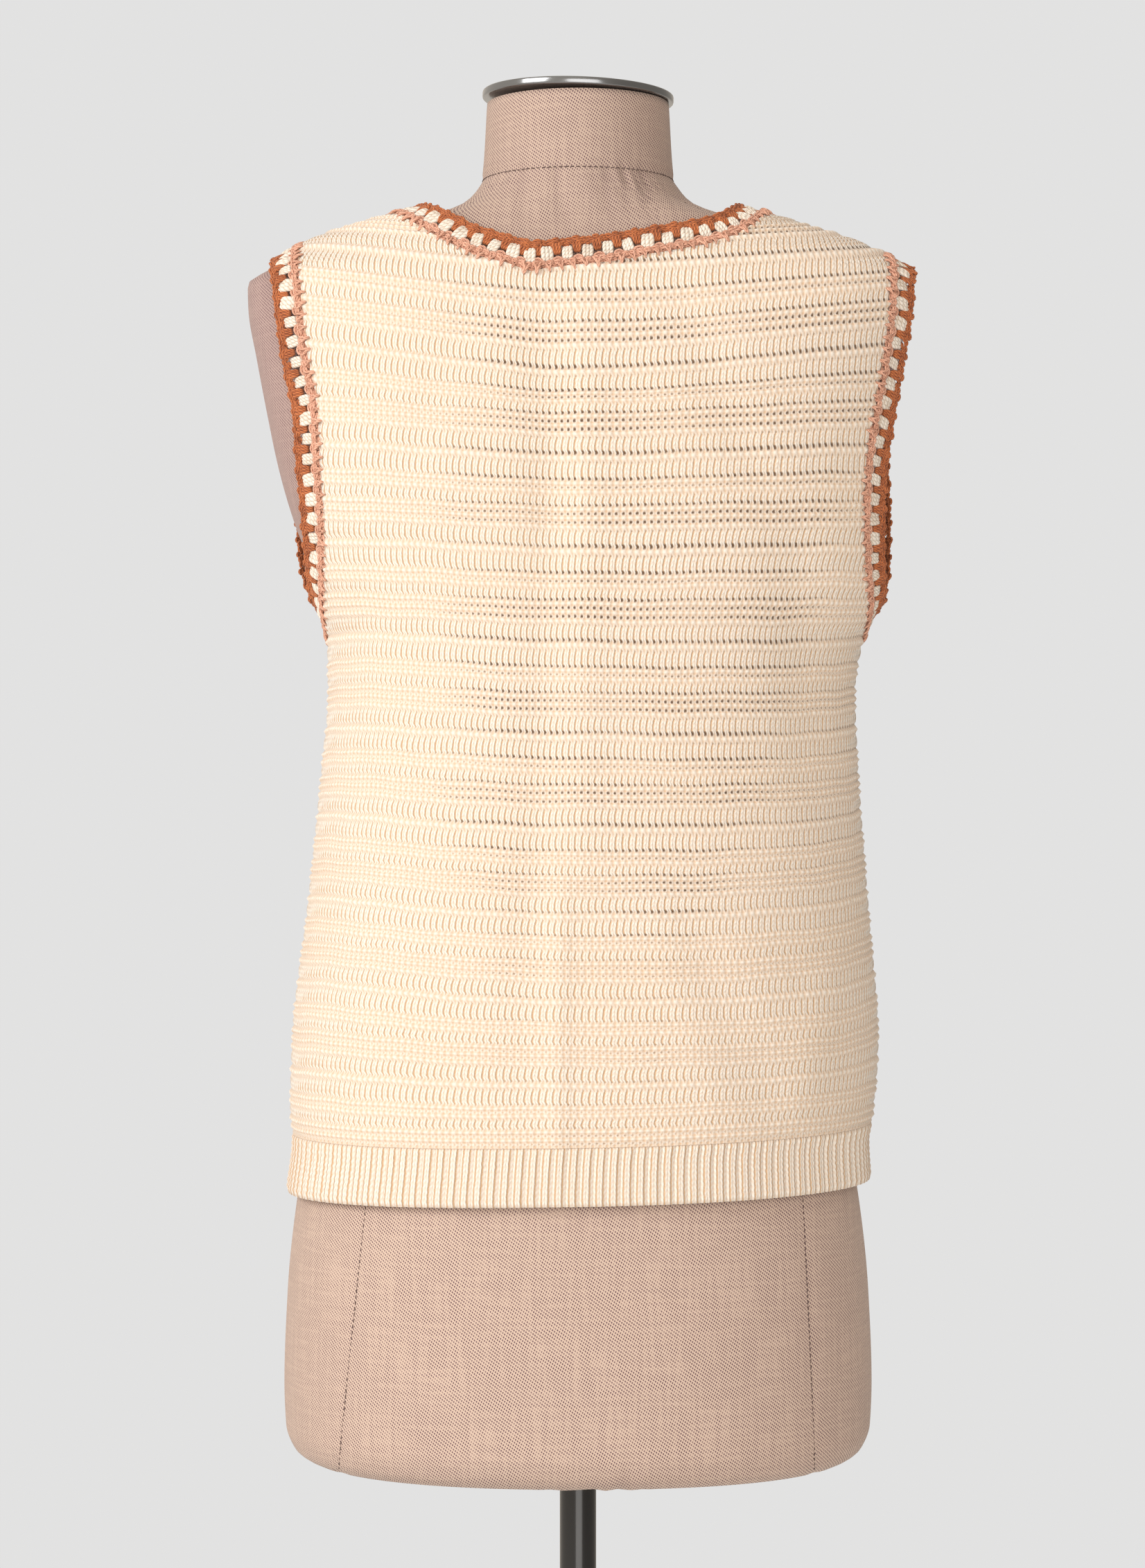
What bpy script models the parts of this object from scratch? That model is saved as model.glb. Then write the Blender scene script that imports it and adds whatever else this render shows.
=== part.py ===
"""Sleeveless knitted cardigan on a limbless dress form with a pole and a round base.

Metres, +Z up. The origin is the centre of the base's underside, on the floor.
The garment's back faces -Y, its front +Y, and the wearer's right side is +X.
"""
import math
from functools import partial

import bmesh
import bpy
import numpy as np

# Dress form: one row for each ring, from the flat bottom to the top of the neck
FORM_COLUMNS = ("z", "half_width", "front", "back", "power")
FORM_RINGS = (
    (0.7380, 0.1500, 0.1050, 0.1100, 2.3),
    (0.7405, 0.1615, 0.1165, 0.1215, 2.3),
    (0.7475, 0.1710, 0.1260, 0.1310, 2.3),
    (0.7600, 0.1755, 0.1305, 0.1355, 2.3),
    (0.7850, 0.1765, 0.1310, 0.1360, 2.3),
    (0.8400, 0.1745, 0.1280, 0.1330, 2.3),
    (0.8970, 0.1685, 0.1215, 0.1270, 2.3),
    (0.9400, 0.1590, 0.1150, 0.1190, 2.3),
    (1.0000, 0.1420, 0.1060, 0.1040, 2.3),
    (1.0700, 0.1270, 0.0990, 0.0920, 2.3),
    (1.1300, 0.1280, 0.1060, 0.0900, 2.3),
    (1.1800, 0.1350, 0.1180, 0.0930, 2.3),
    (1.2290, 0.1430, 0.1230, 0.0960, 2.3),
    (1.2650, 0.1560, 0.1230, 0.0980, 2.3),
    (1.2980, 0.1700, 0.1180, 0.0980, 2.4),
    (1.3320, 0.1800, 0.1100, 0.0970, 2.5),
    (1.3650, 0.1870, 0.1000, 0.0940, 2.5),
    (1.3990, 0.1935, 0.0880, 0.0880, 2.5),
    (1.4280, 0.1985, 0.0740, 0.0790, 2.5),
    (1.4430, 0.1990, 0.0650, 0.0730, 2.4),
    (1.4527, 0.1850, 0.0600, 0.0690, 2.3),
    (1.4657, 0.1615, 0.0570, 0.0640, 2.2),
    (1.4795, 0.1100, 0.0560, 0.0590, 2.1),
    (1.4857, 0.0845, 0.0560, 0.0580, 2.1),
    (1.4940, 0.0670, 0.0560, 0.0570, 2.0),
    (1.5070, 0.0580, 0.0560, 0.0560, 2.0),
    (1.5530, 0.0548, 0.0548, 0.0548, 2.0),
)
FORM_SIDES = 20

# Cloth: one row for each height, the outer face of the plain knit around the body
CLOTH_COLUMNS = ("z", "left", "right", "front", "back", "power")
CLOTH_RINGS = (
    (0.9030, 0.1735, 0.1750, 0.1275, 0.1330, 2.3),
    (0.9300, 0.1705, 0.1735, 0.1275, 0.1312, 2.3),
    (0.9470, 0.1725, 0.1770, 0.1277, 0.1308, 2.3),
    (0.9890, 0.1715, 0.1800, 0.1279, 0.1280, 2.3),
    (1.0720, 0.1620, 0.1740, 0.1280, 0.1200, 2.3),
    (1.1560, 0.1535, 0.1680, 0.1290, 0.1120, 2.3),
    (1.1980, 0.1500, 0.1665, 0.1300, 0.1085, 2.3),
    (1.2290, 0.1505, 0.1710, 0.1300, 0.1060, 2.3),
    (1.2500, 0.1600, 0.1840, 0.1300, 0.1050, 2.3),
    (1.2700, 0.1700, 0.1910, 0.1290, 0.1045, 2.3),
    (1.2980, 0.1780, 0.1940, 0.1245, 0.1035, 2.4),
    (1.3320, 0.1860, 0.1960, 0.1165, 0.1025, 2.5),
    (1.3650, 0.1925, 0.1990, 0.1065, 0.0995, 2.5),
    (1.3990, 0.1990, 0.2040, 0.0945, 0.0935, 2.5),
    (1.4280, 0.2035, 0.2090, 0.0800, 0.0845, 2.5),
    (1.4460, 0.2035, 0.2090, 0.0710, 0.0785, 2.4),
    (1.4575, 0.1845, 0.1935, 0.0650, 0.0740, 2.3),
    (1.4700, 0.1615, 0.1660, 0.0615, 0.0690, 2.2),
    (1.4780, 0.1370, 0.1390, 0.0605, 0.0660, 2.2),
    (1.4860, 0.1110, 0.1140, 0.0600, 0.0635, 2.1),
    (1.4930, 0.0870, 0.0880, 0.0595, 0.0620, 2.1),
)
WALL = 0.0028
SEAM_GAP = 0.0003
HEM_Z = 0.903
RIB_TOP_Z = 0.9365
UNDERARM_Z = 1.229
SHOULDER_NECK_Z = 1.4855
SHOULDER_TOP_Z = 1.4847
HEM_TILT = 0.004

# Courses of the back: how far each sags from its height at the side seams, how far its left
# side lies above its right one, and how softly it turns at the centre line
COURSE_COLUMNS = ("z", "sag", "lean", "soft")
COURSE_CURVES = (
    (0.9030, 0.0000, 0.0000, 3.00),
    (0.9370, 0.0010, 0.0000, 3.00),
    (1.0130, 0.0074, -0.0054, 3.00),
    (1.0450, 0.0087, -0.0051, 3.00),
    (1.1090, 0.0090, -0.0044, 3.00),
    (1.1400, 0.0068, -0.0046, 3.00),
    (1.2010, 0.0056, -0.0042, 1.40),
    (1.2340, 0.0062, -0.0038, 0.50),
    (1.2650, 0.0064, -0.0030, 0.22),
    (1.2990, 0.0082, -0.0029, 0.12),
    (1.3340, 0.0110, -0.0024, 0.12),
    (1.3700, 0.0155, -0.0029, 0.12),
    (1.4130, 0.0245, -0.0040, 0.12),
    (1.4400, 0.0240, -0.0040, 0.12),
    (1.4650, 0.0180, -0.0030, 0.12),
    (1.4855, 0.0120, 0.0000, 0.12),
)

# Armhole edges: one row for each height, the distance of the panel's edge from the centre line
ARMHOLE_COLUMNS = ("z", "back_left", "back_right", "front_left", "front_right")
ARMHOLE_EDGES = (
    (1.229, 0.1505, 0.1710, 0.1505, 0.1710),
    (1.250, 0.1500, 0.1715, 0.1570, 0.1800),
    (1.272, 0.1490, 0.1690, 0.1630, 0.1840),
    (1.304, 0.1490, 0.1675, 0.1640, 0.1840),
    (1.327, 0.1505, 0.1680, 0.1620, 0.1820),
    (1.364, 0.1520, 0.1730, 0.1600, 0.1790),
    (1.403, 0.1590, 0.1800, 0.1610, 0.1800),
    (1.438, 0.1630, 0.1840, 0.1640, 0.1840),
    (1.464, 0.1665, 0.1845, 0.1665, 0.1845),
)

# Back neck edge: one row for each height above the notch, its distance to the left and right
NECK_LOW_X = -0.029
NECK_COLUMNS = ("z", "left", "right")
BACK_NECK_EDGE = (
    (1.4420, -0.0290, -0.0290),
    (1.4470, -0.0440, 0.0150),
    (1.4530, -0.0620, 0.0480),
    (1.4600, -0.0760, 0.0800),
    (1.4700, -0.0920, 0.1000),
    (1.4855, -0.1125, 0.1150),
)
VEE_Z = 1.250
FRONT_OPENING = 0.018
SCOOP_RADIUS = 0.034

# Knit repeat: the share of it where its strong holes lie, the length of cloth from the hem rib to
# each row of strong holes going up, and the shares that lie in grooves and on ridges of purl
HOLES_SHARE = 0.429
HOLE_ROWS = (
    -0.0105,
    0.0413,
    0.0929,
    0.1427,
    0.1914,
    0.2426,
    0.2960,
    0.3525,
    0.4116,
    0.4745,
    0.5385,
    0.6030,
)
GROOVES = (0.061, 0.152, 0.323, HOLES_SHARE, 0.589, 0.682, 0.775, 0.918)
RIDGES = (0.014, 0.105, 0.371, 0.634, 0.729, 0.820)
RIDGE_HEIGHT = 0.0011
END_CLEAR = 0.0015
MID_SHOULDER_X = 0.125
BACK_CELLS = 10
NOTCH_CELLS = 5
FRONT_CELLS = 5

# Inside of the panels: from each height up, a row of points for so many courses
THINNING = ((0.0, 14), (1.226, 1), (1.262, 2), (1.290, 4), (1.436, 1))

# Hem rib: outer points for each rib as (fraction of the pitch, height of the point)
RIB_PITCH = 0.0078
RIB_POINTS = ((0.0, 0.0), (0.5, 0.0014))
RIBS_PER_INNER_CELL = 4
RIB_GAP = 0.0005

# Crochet trim: two rails joined by posts, with a hole cut through between the posts
TRIM_WIDTH = 0.0185
TRIM_PITCH = 0.0121
POST_SHARE = 0.55
INNER_RAIL = 0.0045
OUTER_RAIL = 0.0115
TRIM_WALL = 0.0028
TRIM_GAP = 0.0006
SMOOTHING = 0.008

# Button bands and buttons
RIB_LIFT = 0.0014
BAND_LIFT = 0.0020
BAND_OVERLAP = 0.004
BAND_TOP_DROP = 0.002
BAND_ROWS = 9
BAND_CELLS = 3
BUTTONS = 5
BUTTON_RADIUS = 0.009
BUTTON_THICK = 0.0036
BUTTON_SIDES = 10
BUTTON_GAP = 0.0005
FIRST_BUTTON_Z = 0.930
LAST_BUTTON_Z = 1.232

# Stand
CAP_RADIUS = 0.0577
CAP_THICK = 0.0045
CAP_TILT = math.radians(1.7)
POLE_RADIUS = 0.011
BASE_RADIUS = 0.170
BASE_THICK = 0.010
BASE_BEVEL = 0.003
ROUND_SIDES = 24

CREAM = (0.93, 0.86, 0.72)
RUST = (0.50, 0.19, 0.09)
FORM_CLOTH = (0.60, 0.47, 0.39)
STEEL = (0.62, 0.62, 0.63)
BLACK = (0.02, 0.02, 0.022)
HORN = (0.70, 0.55, 0.38)

SHARP_ANGLE = math.radians(30)
TOUCH = 1e-5
LEFT, RIGHT = 1, -1
ROUNDS = 6
SAMPLES = 600
SMALL_RISE = 0.004
SMALL_TURN = 0.02
ARMHOLE_CENTRES = {LEFT: (-0.17, 0.0, 1.36), RIGHT: (0.19, 0.0, 1.36)}
NECK_CENTRE = (0.0, 0.0, 1.45)


def column(table, names, name):
    """The heights and one named column of a table, as arrays."""
    rows = np.array(table)
    return rows[:, names.index("z")], rows[:, names.index(name)]


def smooth(heights, values, z):
    """A smooth curve through the points of a table, with no overshoot between them."""
    z = np.clip(z, heights[0], heights[-1])
    step = np.diff(heights)
    slope = np.diff(values) / step
    knots = np.concatenate([slope[:1], slope[1:], slope[-1:]])
    before, after = slope[:-1], slope[1:]
    same = before * after > 0
    knots[1:-1] = np.where(same, 2 * before * after / np.where(same, before + after, 1.0), 0.0)
    k = np.clip(np.searchsorted(heights, z, side="right") - 1, 0, len(step) - 1)
    t = (z - heights[k]) / step[k]
    rise = (3 - 2 * t) * t * t
    return (
        values[k] * (1 - rise)
        + values[k + 1] * rise
        + knots[k] * step[k] * t * (1 - t) ** 2
        - knots[k + 1] * step[k] * t * t * (1 - t)
    )


def cloth(name, z):
    """One named column of the cloth's rings at a height."""
    return smooth(*column(CLOTH_RINGS, CLOTH_COLUMNS, name), z)


def course(name, label):
    """One named column of the back's course curves for a course."""
    return smooth(*column(COURSE_CURVES, COURSE_COLUMNS, name), label)


def height(label, angle, face):
    """The height of a course: its tilt, and on the back its sag and lean away from the seams."""
    side = np.cos(angle)
    tilt = HEM_TILT * np.clip((UNDERARM_Z - label) / (UNDERARM_Z - HEM_Z), 0, 1)
    level = label + tilt * side
    if face == "front":
        return level
    soft = course("soft", label)
    bow = (np.sqrt(side * side + soft * soft) - soft) / (np.sqrt(1 + soft * soft) - soft)
    return level - course("sag", label) * (1 - bow) + course("lean", label) * side * (1 - side**8)


def on_cloth(label, angle, face):
    """Points of the cloth's outer face: angle 0 is the right side seam and pi the left one."""
    label, angle = np.broadcast_arrays(np.asarray(label, float), np.asarray(angle, float))
    z = height(label, angle, face)
    power = 2 / cloth("power", z)
    side = np.where(np.cos(angle) > 0, cloth("right", z), -cloth("left", z))
    depth = cloth(face, z) * (1 if face == "front" else -1)
    x = side * np.abs(np.cos(angle)) ** power
    y = depth * np.abs(np.sin(angle)) ** power
    return np.stack([x, y, z], -1)


def outward(label, angle, face):
    """Unit vectors that point out of the cloth."""
    angle = np.clip(angle, 2 * SMALL_TURN, math.pi - 2 * SMALL_TURN)
    up = on_cloth(label + SMALL_RISE, angle, face) - on_cloth(label - SMALL_RISE, angle, face)
    across = on_cloth(label, angle + SMALL_TURN, face) - on_cloth(label, angle - SMALL_TURN, face)
    out = np.cross(across, up) * (1 if face == "front" else -1)
    return out / np.linalg.norm(out, axis=-1, keepdims=True)


def angle_of(label, x, face):
    """The angle at which a course passes the distance x from the centre line."""
    angle = np.full_like(np.asarray(label, float), math.pi / 2)
    for _ in range(ROUNDS):
        z = height(label, angle, face)
        side = np.where(x > 0, cloth("right", z), cloth("left", z))
        share = np.clip(np.abs(x) / side, 0, 1) ** (cloth("power", z) / 2)
        angle = np.arccos(np.sign(x) * share)
    return angle


def seam_angle(label, face):
    """The angle that leaves half a seam's gap at a side or shoulder seam."""
    z = height(label, 0.0, face)
    return np.arcsin((SEAM_GAP / cloth(face, z)) ** (cloth("power", z) / 2))


def armhole_angle(label, face, side):
    """The angle of a panel's outer edge: side seam, armhole, then shoulder seam."""
    name = f"{face}_{'left' if side == LEFT else 'right'}"
    edge = float(seam_angle(label, face))
    if label > UNDERARM_Z:
        x = smooth(*column(ARMHOLE_EDGES, ARMHOLE_COLUMNS, name), label)
        from_x = float(angle_of(label, -x if side == LEFT else x, face))
        from_x = math.pi - from_x if side == LEFT else from_x
        rise = min(label - UNDERARM_Z, SCOOP_RADIUS)
        round_y = math.sqrt(rise * (2 * SCOOP_RADIUS - rise))
        power = float(cloth("power", label)) / 2
        scoop = math.asin((round_y / float(cloth(face, label))) ** power)
        low = label < UNDERARM_Z + SCOOP_RADIUS
        edge = max(edge, scoop if low and scoop > from_x else from_x)
    return math.pi - edge if side == LEFT else edge


def notch_angle(label):
    """The angle of the line that runs up the back to the lowest point of the neck edge."""
    return float(angle_of(label, np.float64(NECK_LOW_X), "back"))


def neck_angle(label, side):
    """The angle of the back panel's neck edge on one side of the notch."""
    name = "left" if side == LEFT else "right"
    heights, reach = column(BACK_NECK_EDGE, NECK_COLUMNS, name)
    angle = notch_angle(label)
    for _ in range(ROUNDS):
        x = smooth(heights, reach, height(label, angle, "back"))
        angle = float(angle_of(label, x, "back"))
    return angle


def front_edge_angle(label, side):
    """The angle of a front panel's inner edge: the opening below, the vee neck above."""
    share = np.clip((label - VEE_Z) / (SHOULDER_NECK_Z - VEE_Z), 0, 1)
    neck_x = abs(BACK_NECK_EDGE[-1][NECK_COLUMNS.index("left" if side == LEFT else "right")])
    x = FRONT_OPENING + (neck_x - FRONT_OPENING) * share
    return float(angle_of(label, np.float64(-x if side == LEFT else x), "front"))


def course_place(repeats):
    """The length of cloth from the hem rib to a place in the repeats, which vary in height."""
    rows = np.arange(len(HOLE_ROWS), dtype=float)
    return float(smooth(rows, np.array(HOLE_ROWS), repeats - HOLES_SHARE + 1))


def course_labels():
    """(label, raised) for each groove and ridge of the knit from the hem rib up to the shoulder."""
    heights = np.linspace(RIB_TOP_Z + RIB_GAP, SHOULDER_TOP_Z, SAMPLES)
    half = 0.5 * (cloth("left", heights) + cloth("right", heights))
    power = cloth("power", heights)
    across = np.clip(1 - (MID_SHOULDER_X / half) ** power, 0, 1) ** (1 / power)
    depth = cloth("back", heights) * across
    length = np.concatenate([[0], np.cumsum(np.hypot(np.diff(heights), np.diff(depth)))])
    top = float(length[-1])
    marks = [(0.0, 0.0), (top, 0.0)]
    for repeat in range(-1, len(HOLE_ROWS) - 1):
        marks += [(course_place(repeat + share), 0.0) for share in GROOVES]
        marks += [(course_place(repeat + share), RIDGE_HEIGHT) for share in RIDGES]
    kept = [m for m in sorted(marks) if m[0] in (0.0, top) or END_CLEAR < m[0] < top - END_CLEAR]
    return [(float(np.interp(s, length, heights)), raised) for s, raised in kept]


def shell_rows(labels, outer_edge, inner_edge, cells, face, depth):
    """Rows of points between two edges, at a depth under the cloth's outer face."""
    rows = []
    for label, raised in labels:
        angles = np.linspace(outer_edge(label), inner_edge(label), cells + 1)
        points = on_cloth(label, angles, face)
        out = outward(label, angles, face)
        rows.append(points + out * (raised - depth))
    return rows


def thinned(labels):
    """The courses that the plain inside needs, always with the first and the last."""
    kept = [0]
    for k, (label, _) in enumerate(labels):
        step = [count for start, count in THINNING if label >= start][-1]
        if k - kept[-1] >= step or k == len(labels) - 1:
            kept.append(k)
    return [(labels[k][0], 0.0) for k in kept]


class Solid:
    """Collects patches of points and joins them into one closed body."""

    def __init__(self):
        self.mesh = bmesh.new()

    def points(self, row):
        return [self.mesh.verts.new(tuple(map(float, p))) for p in row]

    def face(self, corners):
        if len({tuple(round(c, 6) for c in v.co) for v in corners}) >= 3:
            self.mesh.faces.new(corners)

    def patch(self, rows):
        """Four-sided faces over rows of equal length, split into triangles."""
        grid = [self.points(row) for row in rows]
        for low, high in zip(grid, grid[1:]):
            for k in range(len(low) - 1):
                self.face([low[k], low[k + 1], high[k + 1]])
                self.face([low[k], high[k + 1], high[k]])

    def lace(self, one, two):
        """Triangles between two lines that run the same way with different numbers of points."""
        first, second = self.points(one), self.points(two)
        share = [self.shares(one), self.shares(two)]
        i = j = 0
        while i < len(first) - 1 or j < len(second) - 1:
            step_first = j == len(second) - 1 or (
                i < len(first) - 1 and share[0][i + 1] <= share[1][j + 1]
            )
            if step_first:
                self.face([first[i], first[i + 1], second[j]])
                i += 1
            else:
                self.face([first[i], second[j + 1], second[j]])
                j += 1

    @staticmethod
    def shares(line):
        """How far along its own length each point of a line lies, from 0 to 1."""
        line = np.array(line, float)
        length = np.concatenate([[0], np.cumsum(np.linalg.norm(np.diff(line, axis=0), axis=1))])
        return length / length[-1] if length[-1] > 0 else length

    def fan(self, row):
        """A flat cap over a closed row."""
        ring = self.points(row)
        middle = self.mesh.verts.new(tuple(map(float, np.mean(row, axis=0))))
        for k, vertex in enumerate(ring):
            self.face([vertex, ring[(k + 1) % len(ring)], middle])

    def finish(self, name, material):
        """Joins the patches, turns their faces outwards and makes the named object."""
        bmesh.ops.remove_doubles(self.mesh, verts=self.mesh.verts[:], dist=TOUCH)
        bmesh.ops.recalc_face_normals(self.mesh, faces=self.mesh.faces[:])
        if self.mesh.calc_volume(signed=True) < 0:
            bmesh.ops.reverse_faces(self.mesh, faces=self.mesh.faces[:])
        data = bpy.data.meshes.new(name)
        self.mesh.to_mesh(data)
        self.mesh.free()
        data.materials.append(material)
        data.shade_smooth()
        data.set_sharp_from_angle(angle=SHARP_ANGLE)
        made = bpy.data.objects.new(name, data)
        bpy.context.scene.collection.objects.link(made)
        return made


def finish_material(name, colour, roughness, metallic=0.0):
    """A Principled material of one colour."""
    material = bpy.data.materials.new(name)
    material.use_nodes = True
    shader = material.node_tree.nodes["Principled BSDF"]
    shader.inputs["Base Color"].default_value = (*colour, 1.0)
    shader.inputs["Roughness"].default_value = roughness
    shader.inputs["Metallic"].default_value = metallic
    material.diffuse_color = (*colour, 1.0)
    return material


def edge_line(rows, index):
    """The points of one column of a shell's rows."""
    return [row[index] for row in rows]


def make_back_panel(material, labels):
    """Back: full width up to the neck notch, then a wing to each shoulder."""
    notch_z = BACK_NECK_EDGE[0][0]
    heights = [float(height(label, notch_angle(label), "back")) for label, _ in labels]
    split = next(k for k, z in enumerate(heights) if z > notch_z - SEAM_GAP)
    low_label = labels[split][0]

    def neck(label, side):
        return neck_angle(label, side) if label > low_label else notch_angle(label)

    def build(chosen, depth):
        below = [entry for entry in chosen if entry[0] <= low_label]
        above = [entry for entry in chosen if entry[0] >= low_label]
        patches = []
        for entries, upper in ((below, False), (above, True)):
            for side, cells in ((LEFT, NOTCH_CELLS), (RIGHT, BACK_CELLS - NOTCH_CELLS)):
                outer_edge = partial(armhole_angle, face="back", side=side)
                inner_edge = partial(neck, side=side) if upper else notch_angle
                patches.append(shell_rows(entries, outer_edge, inner_edge, cells, "back", depth))
        return patches

    inner_labels = thinned(labels[: split + 1])[:-1] + thinned(labels[split:])
    outer = build(labels, 0.0)
    inner = build(inner_labels, WALL)
    solid = Solid()
    for rows in outer + inner:
        solid.patch(rows)
    for part, index in ((0, 0), (1, 0), (2, 0), (2, -1), (3, 0), (3, -1)):
        solid.lace(edge_line(outer[part], index), edge_line(inner[part], index))
    for part, index in ((0, 0), (1, 0), (2, -1), (3, -1)):
        solid.lace(list(outer[part][index]), list(inner[part][index]))
    solid.finish("back_panel", material)
    return low_label


def make_front_panel(material, labels, side, name):
    """One front: from the side seam and armhole to the opening and the vee neck."""
    outer_edge = partial(armhole_angle, face="front", side=side)
    inner_edge = partial(front_edge_angle, side=side)
    outer = shell_rows(labels, outer_edge, inner_edge, FRONT_CELLS, "front", 0.0)
    inner = shell_rows(thinned(labels), outer_edge, inner_edge, FRONT_CELLS, "front", WALL)
    solid = Solid()
    solid.patch(outer)
    solid.patch(inner)
    for index in (0, -1):
        solid.lace(edge_line(outer, index), edge_line(inner, index))
        solid.lace(list(outer[index]), list(inner[index]))
    return solid.finish(name, material)


def even_angles(label, face, first, last, count):
    """Angles that divide a course into equal lengths."""
    fine = np.linspace(first, last, SAMPLES)
    points = on_cloth(label, fine, face)
    length = np.concatenate([[0], np.cumsum(np.linalg.norm(np.diff(points, axis=0), axis=1))])
    return np.interp(np.linspace(0, length[-1], count), length, fine), float(length[-1])


def make_hem_rib(material, name, face, first, last):
    """Ribbed hem: upright ribs outside, a plain face inside."""
    _, length = even_angles(HEM_Z, face, first, last, 2)
    ribs = RIBS_PER_INNER_CELL * round(length / RIB_PITCH / RIBS_PER_INNER_CELL)
    cells = ribs // RIBS_PER_INNER_CELL
    shares = [0.0] + [
        (k + share) / ribs for k in range(ribs) for share, _ in RIB_POINTS if k or share
    ] + [1.0]
    raised = [0.0] + [
        up for k in range(ribs) for share, up in RIB_POINTS if k or share
    ] + [0.0]
    outer, inner = [], []
    for label in (HEM_Z, RIB_TOP_Z - RIB_GAP):
        fine, _ = even_angles(label, face, first, last, SAMPLES)
        even = np.linspace(0, 1, SAMPLES)
        angles = np.interp(shares, even, fine)
        lift = outward(label, angles, face) * np.array(raised)[:, None]
        outer.append(on_cloth(label, angles, face) + lift)
        angles = np.interp(np.linspace(0, 1, cells + 1), even, fine)
        inner.append(on_cloth(label, angles, face) - outward(label, angles, face) * WALL)
    solid = Solid()
    solid.patch(outer)
    solid.patch(inner)
    for k in (0, 1):
        solid.lace(list(outer[k]), list(inner[k]))
    for index in (0, -1):
        solid.lace(edge_line(outer, index), edge_line(inner, index))
    return solid.finish(name, material)


class EdgePath:
    """A panel's edge as a line of points, with the directions out of the cloth and off the edge."""

    def __init__(self, entries, centre, closed):
        """entries are (label, angle, face) along the edge; centre is a point in the open side."""
        points = [on_cloth(label, angle, face) for label, angle, face in entries]
        out = [outward(label, angle, face) for label, angle, face in entries]
        if closed:
            points.append(points[0])
            out.append(out[0])
        self.points = np.array(points)
        self.out = np.array(out)
        self.centre = np.array(centre)
        self.closed = closed
        steps = np.linalg.norm(np.diff(self.points, axis=0), axis=1)
        self.length = np.concatenate([[0], np.cumsum(steps)])

    def pick(self, values, along):
        """One value at a distance along the line."""
        total = self.length[-1]
        along = along % total if self.closed else min(max(along, 0.0), total)
        return np.array([np.interp(along, self.length, values[:, k]) for k in range(3)])

    def at(self, along):
        """The point and the directions out of the cloth, off the edge and along it, at a distance."""
        point = self.pick(self.points, along)
        out = sum(self.pick(self.out, along + step) for step in (-SMOOTHING, 0.0, SMOOTHING))
        out = out / np.linalg.norm(out)
        tangent = self.pick(self.points, along + SMOOTHING) - self.pick(self.points, along - SMOOTHING)
        tangent = tangent / np.linalg.norm(tangent)
        off = np.cross(tangent, out)
        off = off / np.linalg.norm(off)
        return point, out, off if float(np.dot(off, self.centre - point)) > 0 else -off, tangent


def shoulder_label(side):
    """The height on the shoulder line where the armhole edge meets it."""
    name = "left" if side == LEFT else "right"
    reach = ARMHOLE_EDGES[-1][ARMHOLE_COLUMNS.index(f"back_{name}")]
    heights = np.linspace(ARMHOLE_EDGES[-2][0], SHOULDER_NECK_Z, SAMPLES)
    return float(np.interp(-reach, -cloth(name, heights), heights))


def armhole_path(labels, side):
    """The closed edge of one armhole, and the distances at the shoulder and the underarm."""
    inside = [s for s in labels if UNDERARM_Z + 0.001 < s < shoulder_label(side) - 0.001]
    seam = 0.0 if side == RIGHT else math.pi
    back = [(s, armhole_angle(s, "back", side), "back") for s in reversed(inside)]
    front = [(s, armhole_angle(s, "front", side), "front") for s in inside]
    entries = [(shoulder_label(side), seam, "back")] + back + [(UNDERARM_Z, seam, "back")] + front
    path = EdgePath(entries, ARMHOLE_CENTRES[side], closed=True)
    return path, float(path.length[len(back) + 1])


def neck_path(labels, low_label):
    """The neck edge from the left front opening round the back to the right front opening."""
    front = [s for s in labels if s > VEE_Z + 0.001]
    back = [s for s in labels if s > low_label]
    top = (SHOULDER_TOP_Z, math.pi, "back")
    left_front = [(s, front_edge_angle(s, LEFT), "front") for s in [VEE_Z] + front]
    left_back = [(s, neck_angle(s, LEFT), "back") for s in reversed(back)]
    right_back = [(s, neck_angle(s, RIGHT), "back") for s in back]
    right_front = [(s, front_edge_angle(s, RIGHT), "front") for s in reversed([VEE_Z] + front)]
    low = (low_label, notch_angle(low_label), "back")
    entries = left_front + [top] + left_back + [low] + right_back
    entries += [(top[0], 0.0, "back")] + right_front
    path = EdgePath(entries, NECK_CENTRE, closed=False)
    second = len(left_front) + 1 + len(left_back) + 1 + len(right_back)
    return path, float(path.length[len(left_front)]), float(path.length[second])


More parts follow.
